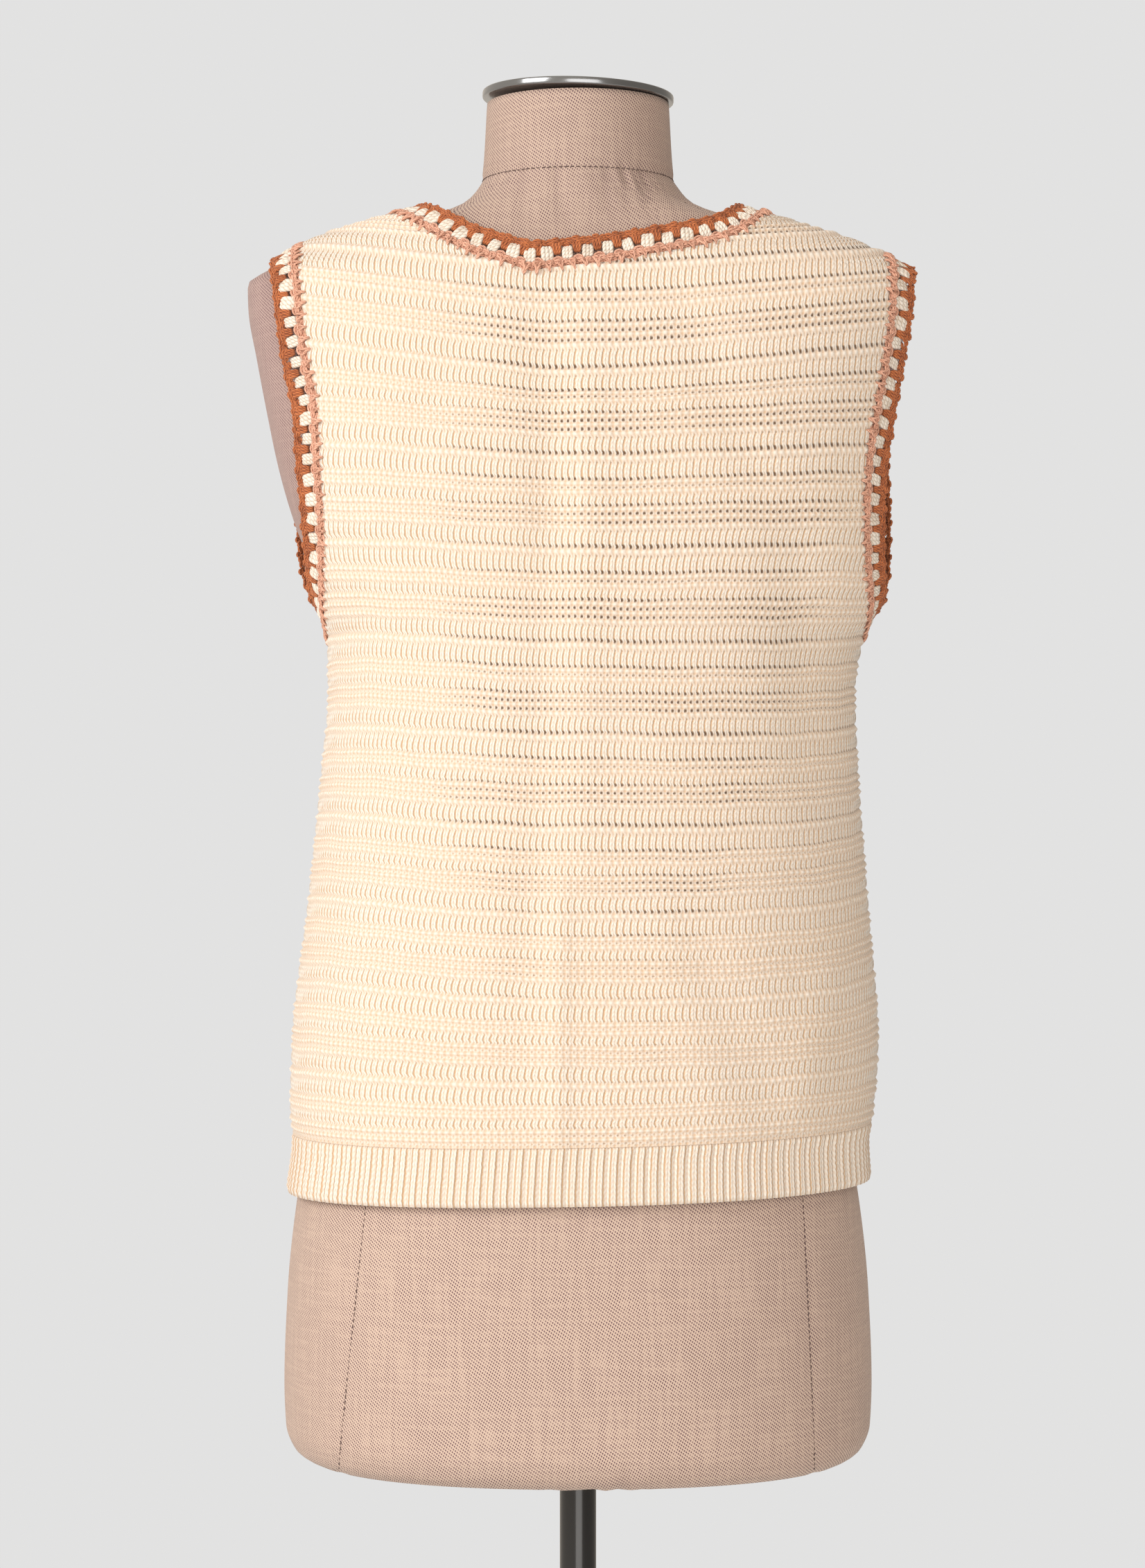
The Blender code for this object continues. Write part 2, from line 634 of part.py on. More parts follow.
def make_trim(material, name, path, start, stop):
    """Crochet edging along part of an edge: two rails, and posts with a hole between each pair."""
    posts = max(2, round((stop - start) / TRIM_PITCH))
    pitch = (stop - start) / (posts - 1 + POST_SHARE)
    stations = [start + (k + share) * pitch for k in range(posts) for share in (0.0, POST_SHARE)]
    reaches = {"edge": TRIM_GAP, "low": INNER_RAIL, "high": OUTER_RAIL, "rim": TRIM_WIDTH}
    frames = []
    for along in stations:
        point, out, off, tangent = path.at(along)
        seam = SEAM_GAP * ((along == stations[0]) - (along == stations[-1]))
        frames.append((point + tangent * seam, out, off))
    lines = {}
    for layer, depth in (("outer", 0.0), ("inner", TRIM_WALL)):
        for rail, reach in reaches.items():
            lines[layer, rail] = np.array([p + off * reach - out * depth for p, out, off in frames])
    solid = Solid()
    whole = list(range(0, 2 * posts, 2)) + [2 * posts - 1]
    for layer in ("outer", "inner"):
        for far, near in (("edge", "low"), ("rim", "high")):
            solid.lace(list(lines[layer, far][whole]), list(lines[layer, near]))
        for k in range(posts):
            both = [2 * k, 2 * k + 1]
            solid.patch([lines[layer, "low"][both], lines[layer, "high"][both]])
    for rail in ("edge", "rim"):
        solid.patch([lines["outer", rail][whole], lines["inner", rail][whole]])
    for k in range(posts - 1):
        hole = [2 * k + 1, 2 * k + 2]
        for rail in ("low", "high"):
            solid.patch([lines["outer", rail][hole], lines["inner", rail][hole]])
        for station in hole:
            solid.patch(
                [[lines[layer, rail][station] for rail in ("low", "high")] for layer in ("outer", "inner")]
            )
    for station in (0, -1):
        solid.patch([[lines[layer, rail][station] for rail in reaches] for layer in ("outer", "inner")])
    return solid.finish(name, material)


def make_band(material, name, first_x, last_x, low, high):
    """A button band down the front opening, between two heights over the plain cloth."""
    labels = np.linspace(HEM_Z, VEE_Z - BAND_TOP_DROP, BAND_ROWS)
    layers = []
    for lift in (high, low):
        rows = []
        for label in labels:
            ends = [float(angle_of(label, np.float64(x), "front")) for x in (first_x, last_x)]
            angles = np.linspace(*ends, BAND_CELLS + 1)
            rows.append(on_cloth(label, angles, "front") + outward(label, angles, "front") * lift)
        layers.append(rows)
    solid = Solid()
    for rows in layers:
        solid.patch(rows)
    for index in (0, -1):
        solid.patch([edge_line(rows, index) for rows in layers])
        solid.patch([rows[index] for rows in layers])
    return solid.finish(name, material)


def make_button(material, number, z):
    """A round button lying on the outer band."""
    angle = float(angle_of(z, np.float64(0.0), "front"))
    out = outward(z, angle, "front")
    seat = on_cloth(z, angle, "front") + out * (BAND_LIFT + WALL + BUTTON_GAP)
    side = np.array([1.0, 0.0, 0.0])
    up = np.cross(out, side)
    turns = np.linspace(0, 2 * math.pi, BUTTON_SIDES + 1)
    rings = [
        [seat + out * rise + BUTTON_RADIUS * (math.cos(t) * side + math.sin(t) * up) for t in turns]
        for rise in (0.0, BUTTON_THICK)
    ]
    solid = Solid()
    solid.patch(rings)
    solid.fan(rings[0][:-1])
    solid.fan(rings[-1][:-1])
    return solid.finish(f"button_{number}", material)


def make_form(material):
    """The limbless dress form: stacked rings with a flat bottom and a flat neck top."""
    turns = np.linspace(0, 2 * math.pi, FORM_SIDES + 1)
    rings = []
    for z, half_width, front, back, power in FORM_RINGS:
        ring = []
        for t in turns:
            across, along = math.cos(t), math.sin(t)
            depth = front if along > 0 else back
            x = half_width * math.copysign(abs(across) ** (2 / power), across)
            y = depth * math.copysign(abs(along) ** (2 / power), along)
            ring.append((x, y, z))
        rings.append(ring)
    solid = Solid()
    solid.patch(rings)
    solid.fan(rings[0][:-1])
    solid.fan(rings[-1][:-1])
    return solid.finish("form_body", material)


def make_turned(material, name, profile):
    """A round piece about the upright axis, from (radius, height) rows, bottom to top."""
    turns = np.linspace(0, 2 * math.pi, ROUND_SIDES + 1)
    rings = [[(r * math.cos(t), r * math.sin(t), z) for t in turns] for r, z in profile]
    solid = Solid()
    solid.patch(rings)
    solid.fan(rings[0][:-1])
    solid.fan(rings[-1][:-1])
    return solid.finish(name, material)


def make_stand(steel, black):
    """Neck cap, pole and round base."""
    edge = 0.0008
    cap = make_turned(
        steel,
        "neck_cap",
        (
            (CAP_RADIUS - edge, 0.0),
            (CAP_RADIUS, edge),
            (CAP_RADIUS, CAP_THICK - edge),
            (CAP_RADIUS - edge, CAP_THICK),
        ),
    )
    cap.rotation_euler = (0.0, CAP_TILT, 0.0)
    cap.location = (0.0, 0.0, FORM_RINGS[-1][0] + SEAM_GAP + CAP_RADIUS * math.sin(CAP_TILT))
    make_turned(
        black,
        "pole",
        (
            (POLE_RADIUS, BASE_THICK + SEAM_GAP),
            (POLE_RADIUS, FORM_RINGS[0][0] - SEAM_GAP),
        ),
    )
    make_turned(
        black,
        "base_plate",
        (
            (BASE_RADIUS, 0.0),
            (BASE_RADIUS, BASE_THICK - BASE_BEVEL),
            (BASE_RADIUS - BASE_BEVEL, BASE_THICK),
        ),
    )


def main():
    """Builds every piece, from the stand up."""
    for old in list(bpy.data.objects):
        bpy.data.objects.remove(old, do_unlink=True)
    cream = finish_material("cream_knit", CREAM, 0.9)
    rust = finish_material("rust_crochet", RUST, 0.9)
    twill = finish_material("form_cloth", FORM_CLOTH, 0.85)
    steel = finish_material("steel", STEEL, 0.25, 1.0)
    black = finish_material("black_metal", BLACK, 0.3, 0.5)
    horn = finish_material("button_horn", HORN, 0.4)

    make_stand(steel, black)
    make_form(twill)
    courses = course_labels()
    labels = [label for label, _ in courses]
    low_label = make_back_panel(cream, courses)
    for side, word in ((LEFT, "left"), (RIGHT, "right")):
        make_front_panel(cream, courses, side, f"front_{word}_panel")
        seam = float(seam_angle(HEM_Z, "front"))
        outer = math.pi - seam if side == LEFT else seam
        opening = float(angle_of(HEM_Z, np.float64(-FRONT_OPENING * side), "front"))
        make_hem_rib(cream, f"front_{word}_hem_rib", "front", outer, opening)
        path, underarm = armhole_path(labels, side)
        for part, start, stop in (("back", 0.0, underarm), ("front", underarm, float(path.length[-1]))):
            make_trim(rust, f"armhole_{word}_trim_{part}", path, start, stop)
    seam = float(seam_angle(HEM_Z, "back"))
    make_hem_rib(cream, "back_hem_rib", "back", math.pi - seam, seam)
    path, first, second = neck_path(labels, low_label)
    for name, start, stop in (
        ("neck_trim_front_left", 0.0, first),
        ("neck_trim_back", first, second),
        ("neck_trim_front_right", second, float(path.length[-1])),
    ):
        make_trim(rust, name, path, start, stop)
    inner = FRONT_OPENING - SEAM_GAP
    make_band(cream, "button_band_left", -inner, inner, RIB_LIFT - WALL, RIB_LIFT)
    make_band(
        cream,
        "button_band_right",
        -FRONT_OPENING,
        FRONT_OPENING + BAND_OVERLAP,
        BAND_LIFT,
        BAND_LIFT + WALL,
    )
    for number, z in enumerate(np.linspace(FIRST_BUTTON_Z, LAST_BUTTON_Z, BUTTONS), 1):
        make_button(horn, number, float(z))


if __name__ == "__main__":
    main()
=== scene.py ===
"""Looks of a sleeveless knitted cardigan with crochet edges, on a limbless dress form.

Metres, +Z up. The garment's back faces -Y, where the camera stands, its front +Y,
and the wearer's right side is +X.
"""

import logging
import math
from collections.abc import Iterator, Sequence
from dataclasses import dataclass, field
from enum import Enum

import bmesh
import bpy
import numpy as np
from bpy.types import ID, Material, Mesh, Node, NodeSocket, NodeTree, Object
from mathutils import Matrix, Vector


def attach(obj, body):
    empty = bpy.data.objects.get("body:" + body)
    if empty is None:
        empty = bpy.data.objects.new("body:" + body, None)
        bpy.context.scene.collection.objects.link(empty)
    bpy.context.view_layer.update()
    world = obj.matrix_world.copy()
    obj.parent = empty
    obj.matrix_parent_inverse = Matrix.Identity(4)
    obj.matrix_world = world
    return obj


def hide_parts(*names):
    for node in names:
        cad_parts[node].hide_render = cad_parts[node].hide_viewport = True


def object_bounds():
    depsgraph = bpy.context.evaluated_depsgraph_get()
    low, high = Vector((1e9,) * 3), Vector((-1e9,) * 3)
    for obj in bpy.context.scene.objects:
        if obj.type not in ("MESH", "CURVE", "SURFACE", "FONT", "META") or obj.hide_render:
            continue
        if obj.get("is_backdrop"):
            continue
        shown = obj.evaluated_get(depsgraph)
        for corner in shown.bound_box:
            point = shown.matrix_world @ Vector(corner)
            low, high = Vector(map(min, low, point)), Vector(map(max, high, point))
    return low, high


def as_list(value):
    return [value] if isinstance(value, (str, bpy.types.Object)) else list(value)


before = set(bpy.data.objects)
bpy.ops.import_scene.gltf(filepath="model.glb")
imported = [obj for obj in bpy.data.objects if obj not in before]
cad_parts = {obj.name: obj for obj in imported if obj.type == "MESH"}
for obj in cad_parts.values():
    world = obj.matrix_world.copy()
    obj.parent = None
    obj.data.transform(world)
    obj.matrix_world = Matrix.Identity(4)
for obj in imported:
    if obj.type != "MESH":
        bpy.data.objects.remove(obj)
CAD_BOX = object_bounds()

LOG = logging.getLogger("cardigan")
MM = 0.001
TURN = 2 * math.pi
FINE = 361
X_AXIS, _, Z_AXIS = np.eye(3)
Array = np.ndarray
Colour = tuple[float, float, float]
Strand = tuple[Array, Array, int, float]


class Face(Enum):
    """The two faces of the garment, with the direction in which each looks."""

    BACK = "back"
    FRONT = "front"

    @property
    def sign(self) -> int:
        """1 where the face looks along +Y, -1 where it looks along -Y."""
        return 1 if self is Face.FRONT else -1


class Side(Enum):
    """The wearer's sides."""

    LEFT = "left"
    RIGHT = "right"

    @property
    def sign(self) -> int:
        """1 for the side at +X, -1 for the side at -X."""
        return 1 if self is Side.RIGHT else -1


def unit(vectors: Array) -> Array:
    """Vectors scaled to a length of one."""
    return vectors / np.linalg.norm(vectors, axis=-1, keepdims=True)


def grown(value: Array, start: Array, over: float, least: float = 0.0) -> Array:
    """How far a value has grown past a start, from the least share to 1."""
    return np.clip((value - start) / over, least, 1)


def bell(value: Array, middle: Array, width: float, power: int = 2) -> Array:
    """1 in the middle of a soft hump, and nearly 0 two widths away."""
    return np.exp(-(((value - middle) / width) ** power))


def lengths_along(points: Array) -> Array:
    """The distance along a line to each of its points."""
    steps = np.linalg.norm(np.diff(points, axis=0), axis=1)
    return np.concatenate([[0], np.cumsum(steps)])


def shares_along(points: Array) -> Array:
    """How far along its own length each point of a line lies, from 0 to 1."""
    length = lengths_along(points)
    return length / max(length[-1], 1e-9)


def placed(name: str, data: ID) -> Object:
    """A new object for a mesh, a lamp or a camera, in the scene."""
    made = bpy.data.objects.new(name, data)
    bpy.context.scene.collection.objects.link(made)
    return made


def store(data: Mesh, name: str, values: Array) -> None:
    """Keeps a number or a vector for each point of a mesh."""
    kind, key = ("FLOAT", "value") if values.ndim == 1 else ("FLOAT_VECTOR", "vector")
    made = data.attributes.new(name, kind, "POINT")
    made.data.foreach_set(key, np.ascontiguousarray(values, np.float32).ravel())


def close_up(data: Mesh, merge: float = 0.0) -> None:
    """Makes points closer than a distance one, turns the faces outwards and smooths them."""
    mesh = bmesh.new()
    mesh.from_mesh(data)
    if merge:
        bmesh.ops.remove_doubles(mesh, verts=mesh.verts[:], dist=merge)
    bmesh.ops.recalc_face_normals(mesh, faces=mesh.faces[:])
    if mesh.calc_volume(signed=True) < 0:
        bmesh.ops.reverse_faces(mesh, faces=mesh.faces[:])
    mesh.to_mesh(data)
    mesh.free()
    data.shade_smooth()


@dataclass(frozen=True)
class Table:
    """Rows of sizes with named columns, read smoothly along the first one."""

    names: tuple[str, ...]
    rows: tuple[tuple[float, ...], ...]

    def column(self, name: str) -> Array:
        """One named column."""
        return np.array(self.rows)[:, self.names.index(name)]

    def read(self, name: str, z: Array) -> Array:
        """Reads a column on a smooth curve that never overshoots its rows.

        Args:
            name: the column.
            z: places along the first column.

        Returns:
            The column's values there.
        """
        heights, values = self.column(self.names[0]), self.column(name)
        z = np.clip(z, heights[0], heights[-1])
        step = np.diff(heights)
        slope = np.diff(values) / step
        knots = np.concatenate([slope[:1], slope[1:], slope[-1:]])
        before, after = slope[:-1], slope[1:]
        same = before * after > 0
        total = np.where(same, before + after, 1.0)
        knots[1:-1] = np.where(same, 2 * before * after / total, 0.0)
        k = np.clip(np.searchsorted(heights, z, side="right") - 1, 0, len(step) - 1)
        t = (z - heights[k]) / step[k]
        rise = (3 - 2 * t) * t * t
        ends = values[k] * (1 - rise) + values[k + 1] * rise
        return ends + step[k] * (knots[k] * t * (1 - t) ** 2 - knots[k + 1] * t * t * (1 - t))


FORM_RINGS = Table(("z", "half_width", "front", "back", "power"), (
    (0.7380, 0.1500, 0.1050, 0.1100, 2.3),
    (0.7405, 0.1615, 0.1165, 0.1215, 2.3),
    (0.7475, 0.1710, 0.1260, 0.1310, 2.3),
    (0.7600, 0.1755, 0.1305, 0.1355, 2.3),
    (0.7850, 0.1765, 0.1310, 0.1360, 2.3),
    (0.8400, 0.1745, 0.1280, 0.1330, 2.3),
    (0.8970, 0.1685, 0.1215, 0.1270, 2.3),
    (0.9400, 0.1590, 0.1150, 0.1190, 2.3),
    (1.0000, 0.1420, 0.1060, 0.1040, 2.3),
    (1.0700, 0.1270, 0.0990, 0.0920, 2.3),
    (1.1300, 0.1280, 0.1060, 0.0900, 2.3),
    (1.1800, 0.1350, 0.1180, 0.0930, 2.3),
    (1.2290, 0.1430, 0.1230, 0.0960, 2.3),
    (1.2650, 0.1560, 0.1230, 0.0980, 2.3),
    (1.2980, 0.1700, 0.1180, 0.0980, 2.4),
    (1.3320, 0.1800, 0.1100, 0.0970, 2.5),
    (1.3650, 0.1870, 0.1000, 0.0940, 2.5),
    (1.3990, 0.1935, 0.0880, 0.0880, 2.5),
    (1.4280, 0.1985, 0.0740, 0.0790, 2.5),
    (1.4430, 0.1990, 0.0650, 0.0730, 2.4),
    (1.4527, 0.1850, 0.0600, 0.0690, 2.3),
    (1.4657, 0.1615, 0.0570, 0.0640, 2.2),
    (1.4795, 0.1100, 0.0560, 0.0590, 2.1),
    (1.4857, 0.0845, 0.0560, 0.0580, 2.1),
    (1.4940, 0.0670, 0.0560, 0.0570, 2.0),
    (1.5070, 0.0580, 0.0560, 0.0560, 2.0),
    (1.5530, 0.0548, 0.0548, 0.0548, 2.0),
))
CLOTH_RINGS = Table(("z", "left", "right", "front", "back", "power"), (
    (0.9030, 0.1735, 0.1750, 0.1275, 0.1330, 2.3),
    (0.9300, 0.1705, 0.1735, 0.1275, 0.1312, 2.3),
    (0.9470, 0.1725, 0.1770, 0.1277, 0.1308, 2.3),
    (0.9890, 0.1715, 0.1800, 0.1279, 0.1280, 2.3),
    (1.0720, 0.1620, 0.1740, 0.1280, 0.1200, 2.3),
    (1.1560, 0.1535, 0.1680, 0.1290, 0.1120, 2.3),
    (1.1980, 0.1500, 0.1665, 0.1300, 0.1085, 2.3),
    (1.2290, 0.1505, 0.1710, 0.1300, 0.1060, 2.3),
    (1.2500, 0.1600, 0.1840, 0.1300, 0.1050, 2.3),
    (1.2700, 0.1700, 0.1910, 0.1290, 0.1045, 2.3),
    (1.2980, 0.1780, 0.1940, 0.1245, 0.1035, 2.4),
    (1.3320, 0.1860, 0.1960, 0.1165, 0.1025, 2.5),
    (1.3650, 0.1925, 0.1990, 0.1065, 0.0995, 2.5),
    (1.3990, 0.1990, 0.2040, 0.0945, 0.0935, 2.5),
    (1.4280, 0.2035, 0.2090, 0.0800, 0.0845, 2.5),
    (1.4460, 0.2035, 0.2090, 0.0710, 0.0785, 2.4),
    (1.4575, 0.1845, 0.1935, 0.0650, 0.0740, 2.3),
    (1.4700, 0.1615, 0.1660, 0.0615, 0.0690, 2.2),
    (1.4780, 0.1370, 0.1390, 0.0605, 0.0660, 2.2),
    (1.4860, 0.1110, 0.1140, 0.0600, 0.0635, 2.1),
    (1.4930, 0.0870, 0.0880, 0.0595, 0.0620, 2.1),
))
ARMHOLE_EDGES = Table(("z", "back_left", "back_right", "front_left", "front_right"), (
    (1.229, 0.1505, 0.1710, 0.1505, 0.1710),
    (1.250, 0.1500, 0.1715, 0.1570, 0.1800),
    (1.272, 0.1490, 0.1690, 0.1630, 0.1840),
    (1.304, 0.1490, 0.1675, 0.1640, 0.1840),
    (1.327, 0.1505, 0.1680, 0.1620, 0.1820),
    (1.364, 0.1520, 0.1730, 0.1600, 0.1790),
    (1.403, 0.1590, 0.1800, 0.1610, 0.1800),
    (1.438, 0.1630, 0.1840, 0.1640, 0.1840),
    (1.464, 0.1665, 0.1845, 0.1665, 0.1845),
))
BACK_NECK_EDGE = Table(("z", "left", "right"), (
    (1.4420, -0.0290, -0.0290),
    (1.4470, -0.0440, 0.0150),
    (1.4530, -0.0620, 0.0480),
    (1.4600, -0.0760, 0.0800),
    (1.4700, -0.0920, 0.1000),
    (1.4855, -0.1125, 0.1150),
))

# Courses of the back: how far each sags from its height at the side seams, how far its left
# side lies above its right one, and how softly it turns at the centre line
COURSE_CURVES = Table(("z", "sag", "lean", "soft"), (
    (0.9030, 0.0000, 0.0000, 3.00),
    (0.9370, 0.0010, 0.0000, 3.00),
    (1.0130, 0.0074, -0.0054, 3.00),
    (1.0450, 0.0087, -0.0051, 3.00),
    (1.1090, 0.0090, -0.0044, 3.00),
    (1.1400, 0.0068, -0.0046, 3.00),
    (1.2010, 0.0056, -0.0042, 1.40),
    (1.2340, 0.0062, -0.0038, 0.50),
    (1.2650, 0.0064, -0.0030, 0.22),
    (1.2990, 0.0082, -0.0029, 0.12),
    (1.3340, 0.0110, -0.0024, 0.12),
    (1.3700, 0.0155, -0.0029, 0.12),
    (1.4130, 0.0245, -0.0040, 0.12),
    (1.4400, 0.0240, -0.0040, 0.12),
    (1.4650, 0.0180, -0.0030, 0.12),
    (1.4855, 0.0120, 0.0000, 0.12),
))
# The length of cloth from the hem rib up to each row of strong holes
HOLE_ROWS = (-0.0105, 0.0413, 0.0929, 0.1427, 0.1914, 0.2426, 0.2960, 0.3525, 0.4116, 0.4745, 0.5385, 0.6030)

# One repeat of the knit going up: its share of the repeat, the course's number, the height of
# the row and of its wales in mm, how much of it is purl, how open its holes are, and how far its
# wales lean to the right, in wales
CHART = Table(("share", "course", "rise", "wale", "purl", "hole", "slant"), (
    (0.014, 0.00, 1.15, -0.22, 1.0, 0.00, 0.00),
    (0.038, 0.50, 0.60, -0.05, 0.8, 0.15, 0.00),
    (0.061, 1.00, -0.05, 0.15, 0.3, 0.60, 0.00),
    (0.083, 1.50, 0.60, -0.05, 0.8, 0.15, 0.00),
    (0.105, 2.00, 1.15, -0.22, 1.0, 0.00, 0.00),
    (0.128, 2.35, 0.55, 0.00, 0.8, 0.20, 0.05),
    (0.152, 2.55, -0.35, 0.15, 0.2, 1.00, 0.12),
    (0.182, 2.95, 0.10, 0.30, 0.0, 0.15, -0.05),
    (0.218, 3.60, 0.30, 0.38, 0.0, 0.00, -0.04),
    (0.256, 4.30, 0.32, 0.38, 0.0, 0.00, 0.00),
    (0.294, 5.00, 0.15, 0.30, 0.0, 0.00, 0.09),
    (0.323, 5.50, -0.10, 0.15, 0.2, 0.35, 0.20),
    (0.347, 5.75, 0.60, 0.00, 0.8, 0.10, 0.10),
    (0.371, 6.00, 1.15, -0.22, 1.0, 0.00, 0.00),
    (0.397, 6.30, 0.50, 0.00, 0.8, 0.20, 0.06),
    (0.429, 6.55, -0.60, 0.15, 0.2, 1.00, 0.14),
    (0.460, 6.95, 0.10, 0.30, 0.0, 0.20, -0.06),
    (0.495, 7.60, 0.30, 0.38, 0.0, 0.00, -0.05),
    (0.531, 8.30, 0.32, 0.38, 0.0, 0.00, 0.00),
    (0.564, 9.00, 0.15, 0.30, 0.0, 0.00, 0.10),
    (0.589, 9.50, -0.10, 0.15, 0.2, 0.35, 0.22),
    (0.611, 9.75, 0.60, 0.00, 0.8, 0.10, 0.10),
    (0.634, 10.00, 1.15, -0.22, 1.0, 0.00, 0.00),
    (0.658, 10.50, 0.60, -0.05, 0.8, 0.15, 0.00),
    (0.682, 11.00, -0.30, 0.12, 0.3, 0.90, 0.05),
    (0.706, 11.50, 0.60, -0.05, 0.8, 0.15, 0.00),
    (0.729, 12.00, 1.15, -0.22, 1.0, 0.00, 0.00),
    (0.752, 12.50, 0.60, -0.05, 0.8, 0.15, 0.00),
    (0.775, 13.00, -0.30, 0.12, 0.3, 0.90, -0.05),
    (0.798, 13.50, 0.60, -0.05, 0.8, 0.15, 0.00),
    (0.820, 14.00, 1.15, -0.22, 1.0, 0.00, 0.00),
    (0.843, 14.35, 0.55, 0.00, 0.8, 0.20, 0.05),
    (0.868, 14.55, -0.35, 0.15, 0.2, 0.90, 0.12),
    (0.896, 15.00, 0.12, 0.30, 0.0, 0.10, -0.05),
    (0.929, 15.65, 0.30, 0.38, 0.0, 0.00, 0.03),
    (0.962, 16.30, 0.12, 0.30, 0.1, 0.10, 0.16),
    (0.989, 16.65, 0.55, 0.00, 0.8, 0.15, 0.08),
))

# Soft creases of the cloth: the face, where each starts and ends, its half width
# and how far it stands out (a ridge) or lies in (a trough), all in mm
CREASES = (
    (Face.BACK, (-22, 1425), (-14, 1290), 16, -2.2),
    (Face.BACK, (-16, 1330), (-24, 1080), 13, -1.8),
    (Face.BACK, (6, 1400), (2, 1120), 13, 1.3),
    (Face.BACK, (-10, 1070), (-12, 930), 7, 1.5),
    (Face.BACK, (-30, 1090), (-34, 960), 12, -1.0),
    (Face.BACK, (70, 1050), (112, 960), 17, -1.1),
    (Face.BACK, (44, 1070), (78, 955), 13, 0.6),
    (Face.BACK, (-62, 1425), (-96, 1330), 13, -0.8),
    (Face.BACK, (60, 1425), (104, 1320), 15, -1.2),
    (Face.BACK, (125, 1290), (136, 1150), 18, -2.0),
    (Face.BACK, (-118, 1240), (-104, 1130), 15, 1.3),
    (Face.BACK, (-120, 1010), (-92, 950), 13, 1.3),
    (Face.BACK, (148, 1040), (128, 960), 14, 1.5),
    (Face.FRONT, (-70, 1330), (-92, 1210), 17, -1.8),
    (Face.FRONT, (74, 1340), (98, 1200), 16, -1.6),
    (Face.FRONT, (-52, 1120), (-70, 950), 15, 1.4),
    (Face.FRONT, (58, 1100), (64, 960), 17, -1.8),
    (Face.FRONT, (112, 1090), (96, 970), 14, 1.4),
    (Face.FRONT, (-110, 1060), (-118, 960), 15, -1.6),
)


@dataclass(frozen=True)
class Cut:
    """The garment's driving sizes, the same as the solids'."""

    wall: float = 0.0028
    seam_gap: float = 0.0003
    hem_z: float = 0.903
    rib_top_z: float = 0.9365
    rib_gap: float = 0.0005
    underarm_z: float = 1.229
    shoulder_neck_z: float = 1.4855
    shoulder_top_z: float = 1.4847
    hem_tilt: float = 0.004
    neck_low_x: float = -0.029
    vee_z: float = 1.250
    front_opening: float = 0.018
    scoop_radius: float = 0.034
    mid_shoulder_x: float = 0.125
    trim_pitch: float = 0.0121
    band_lift: float = 0.0020
    band_overlap: float = 0.004
    rib_lift: float = 0.0014


CUT = Cut()


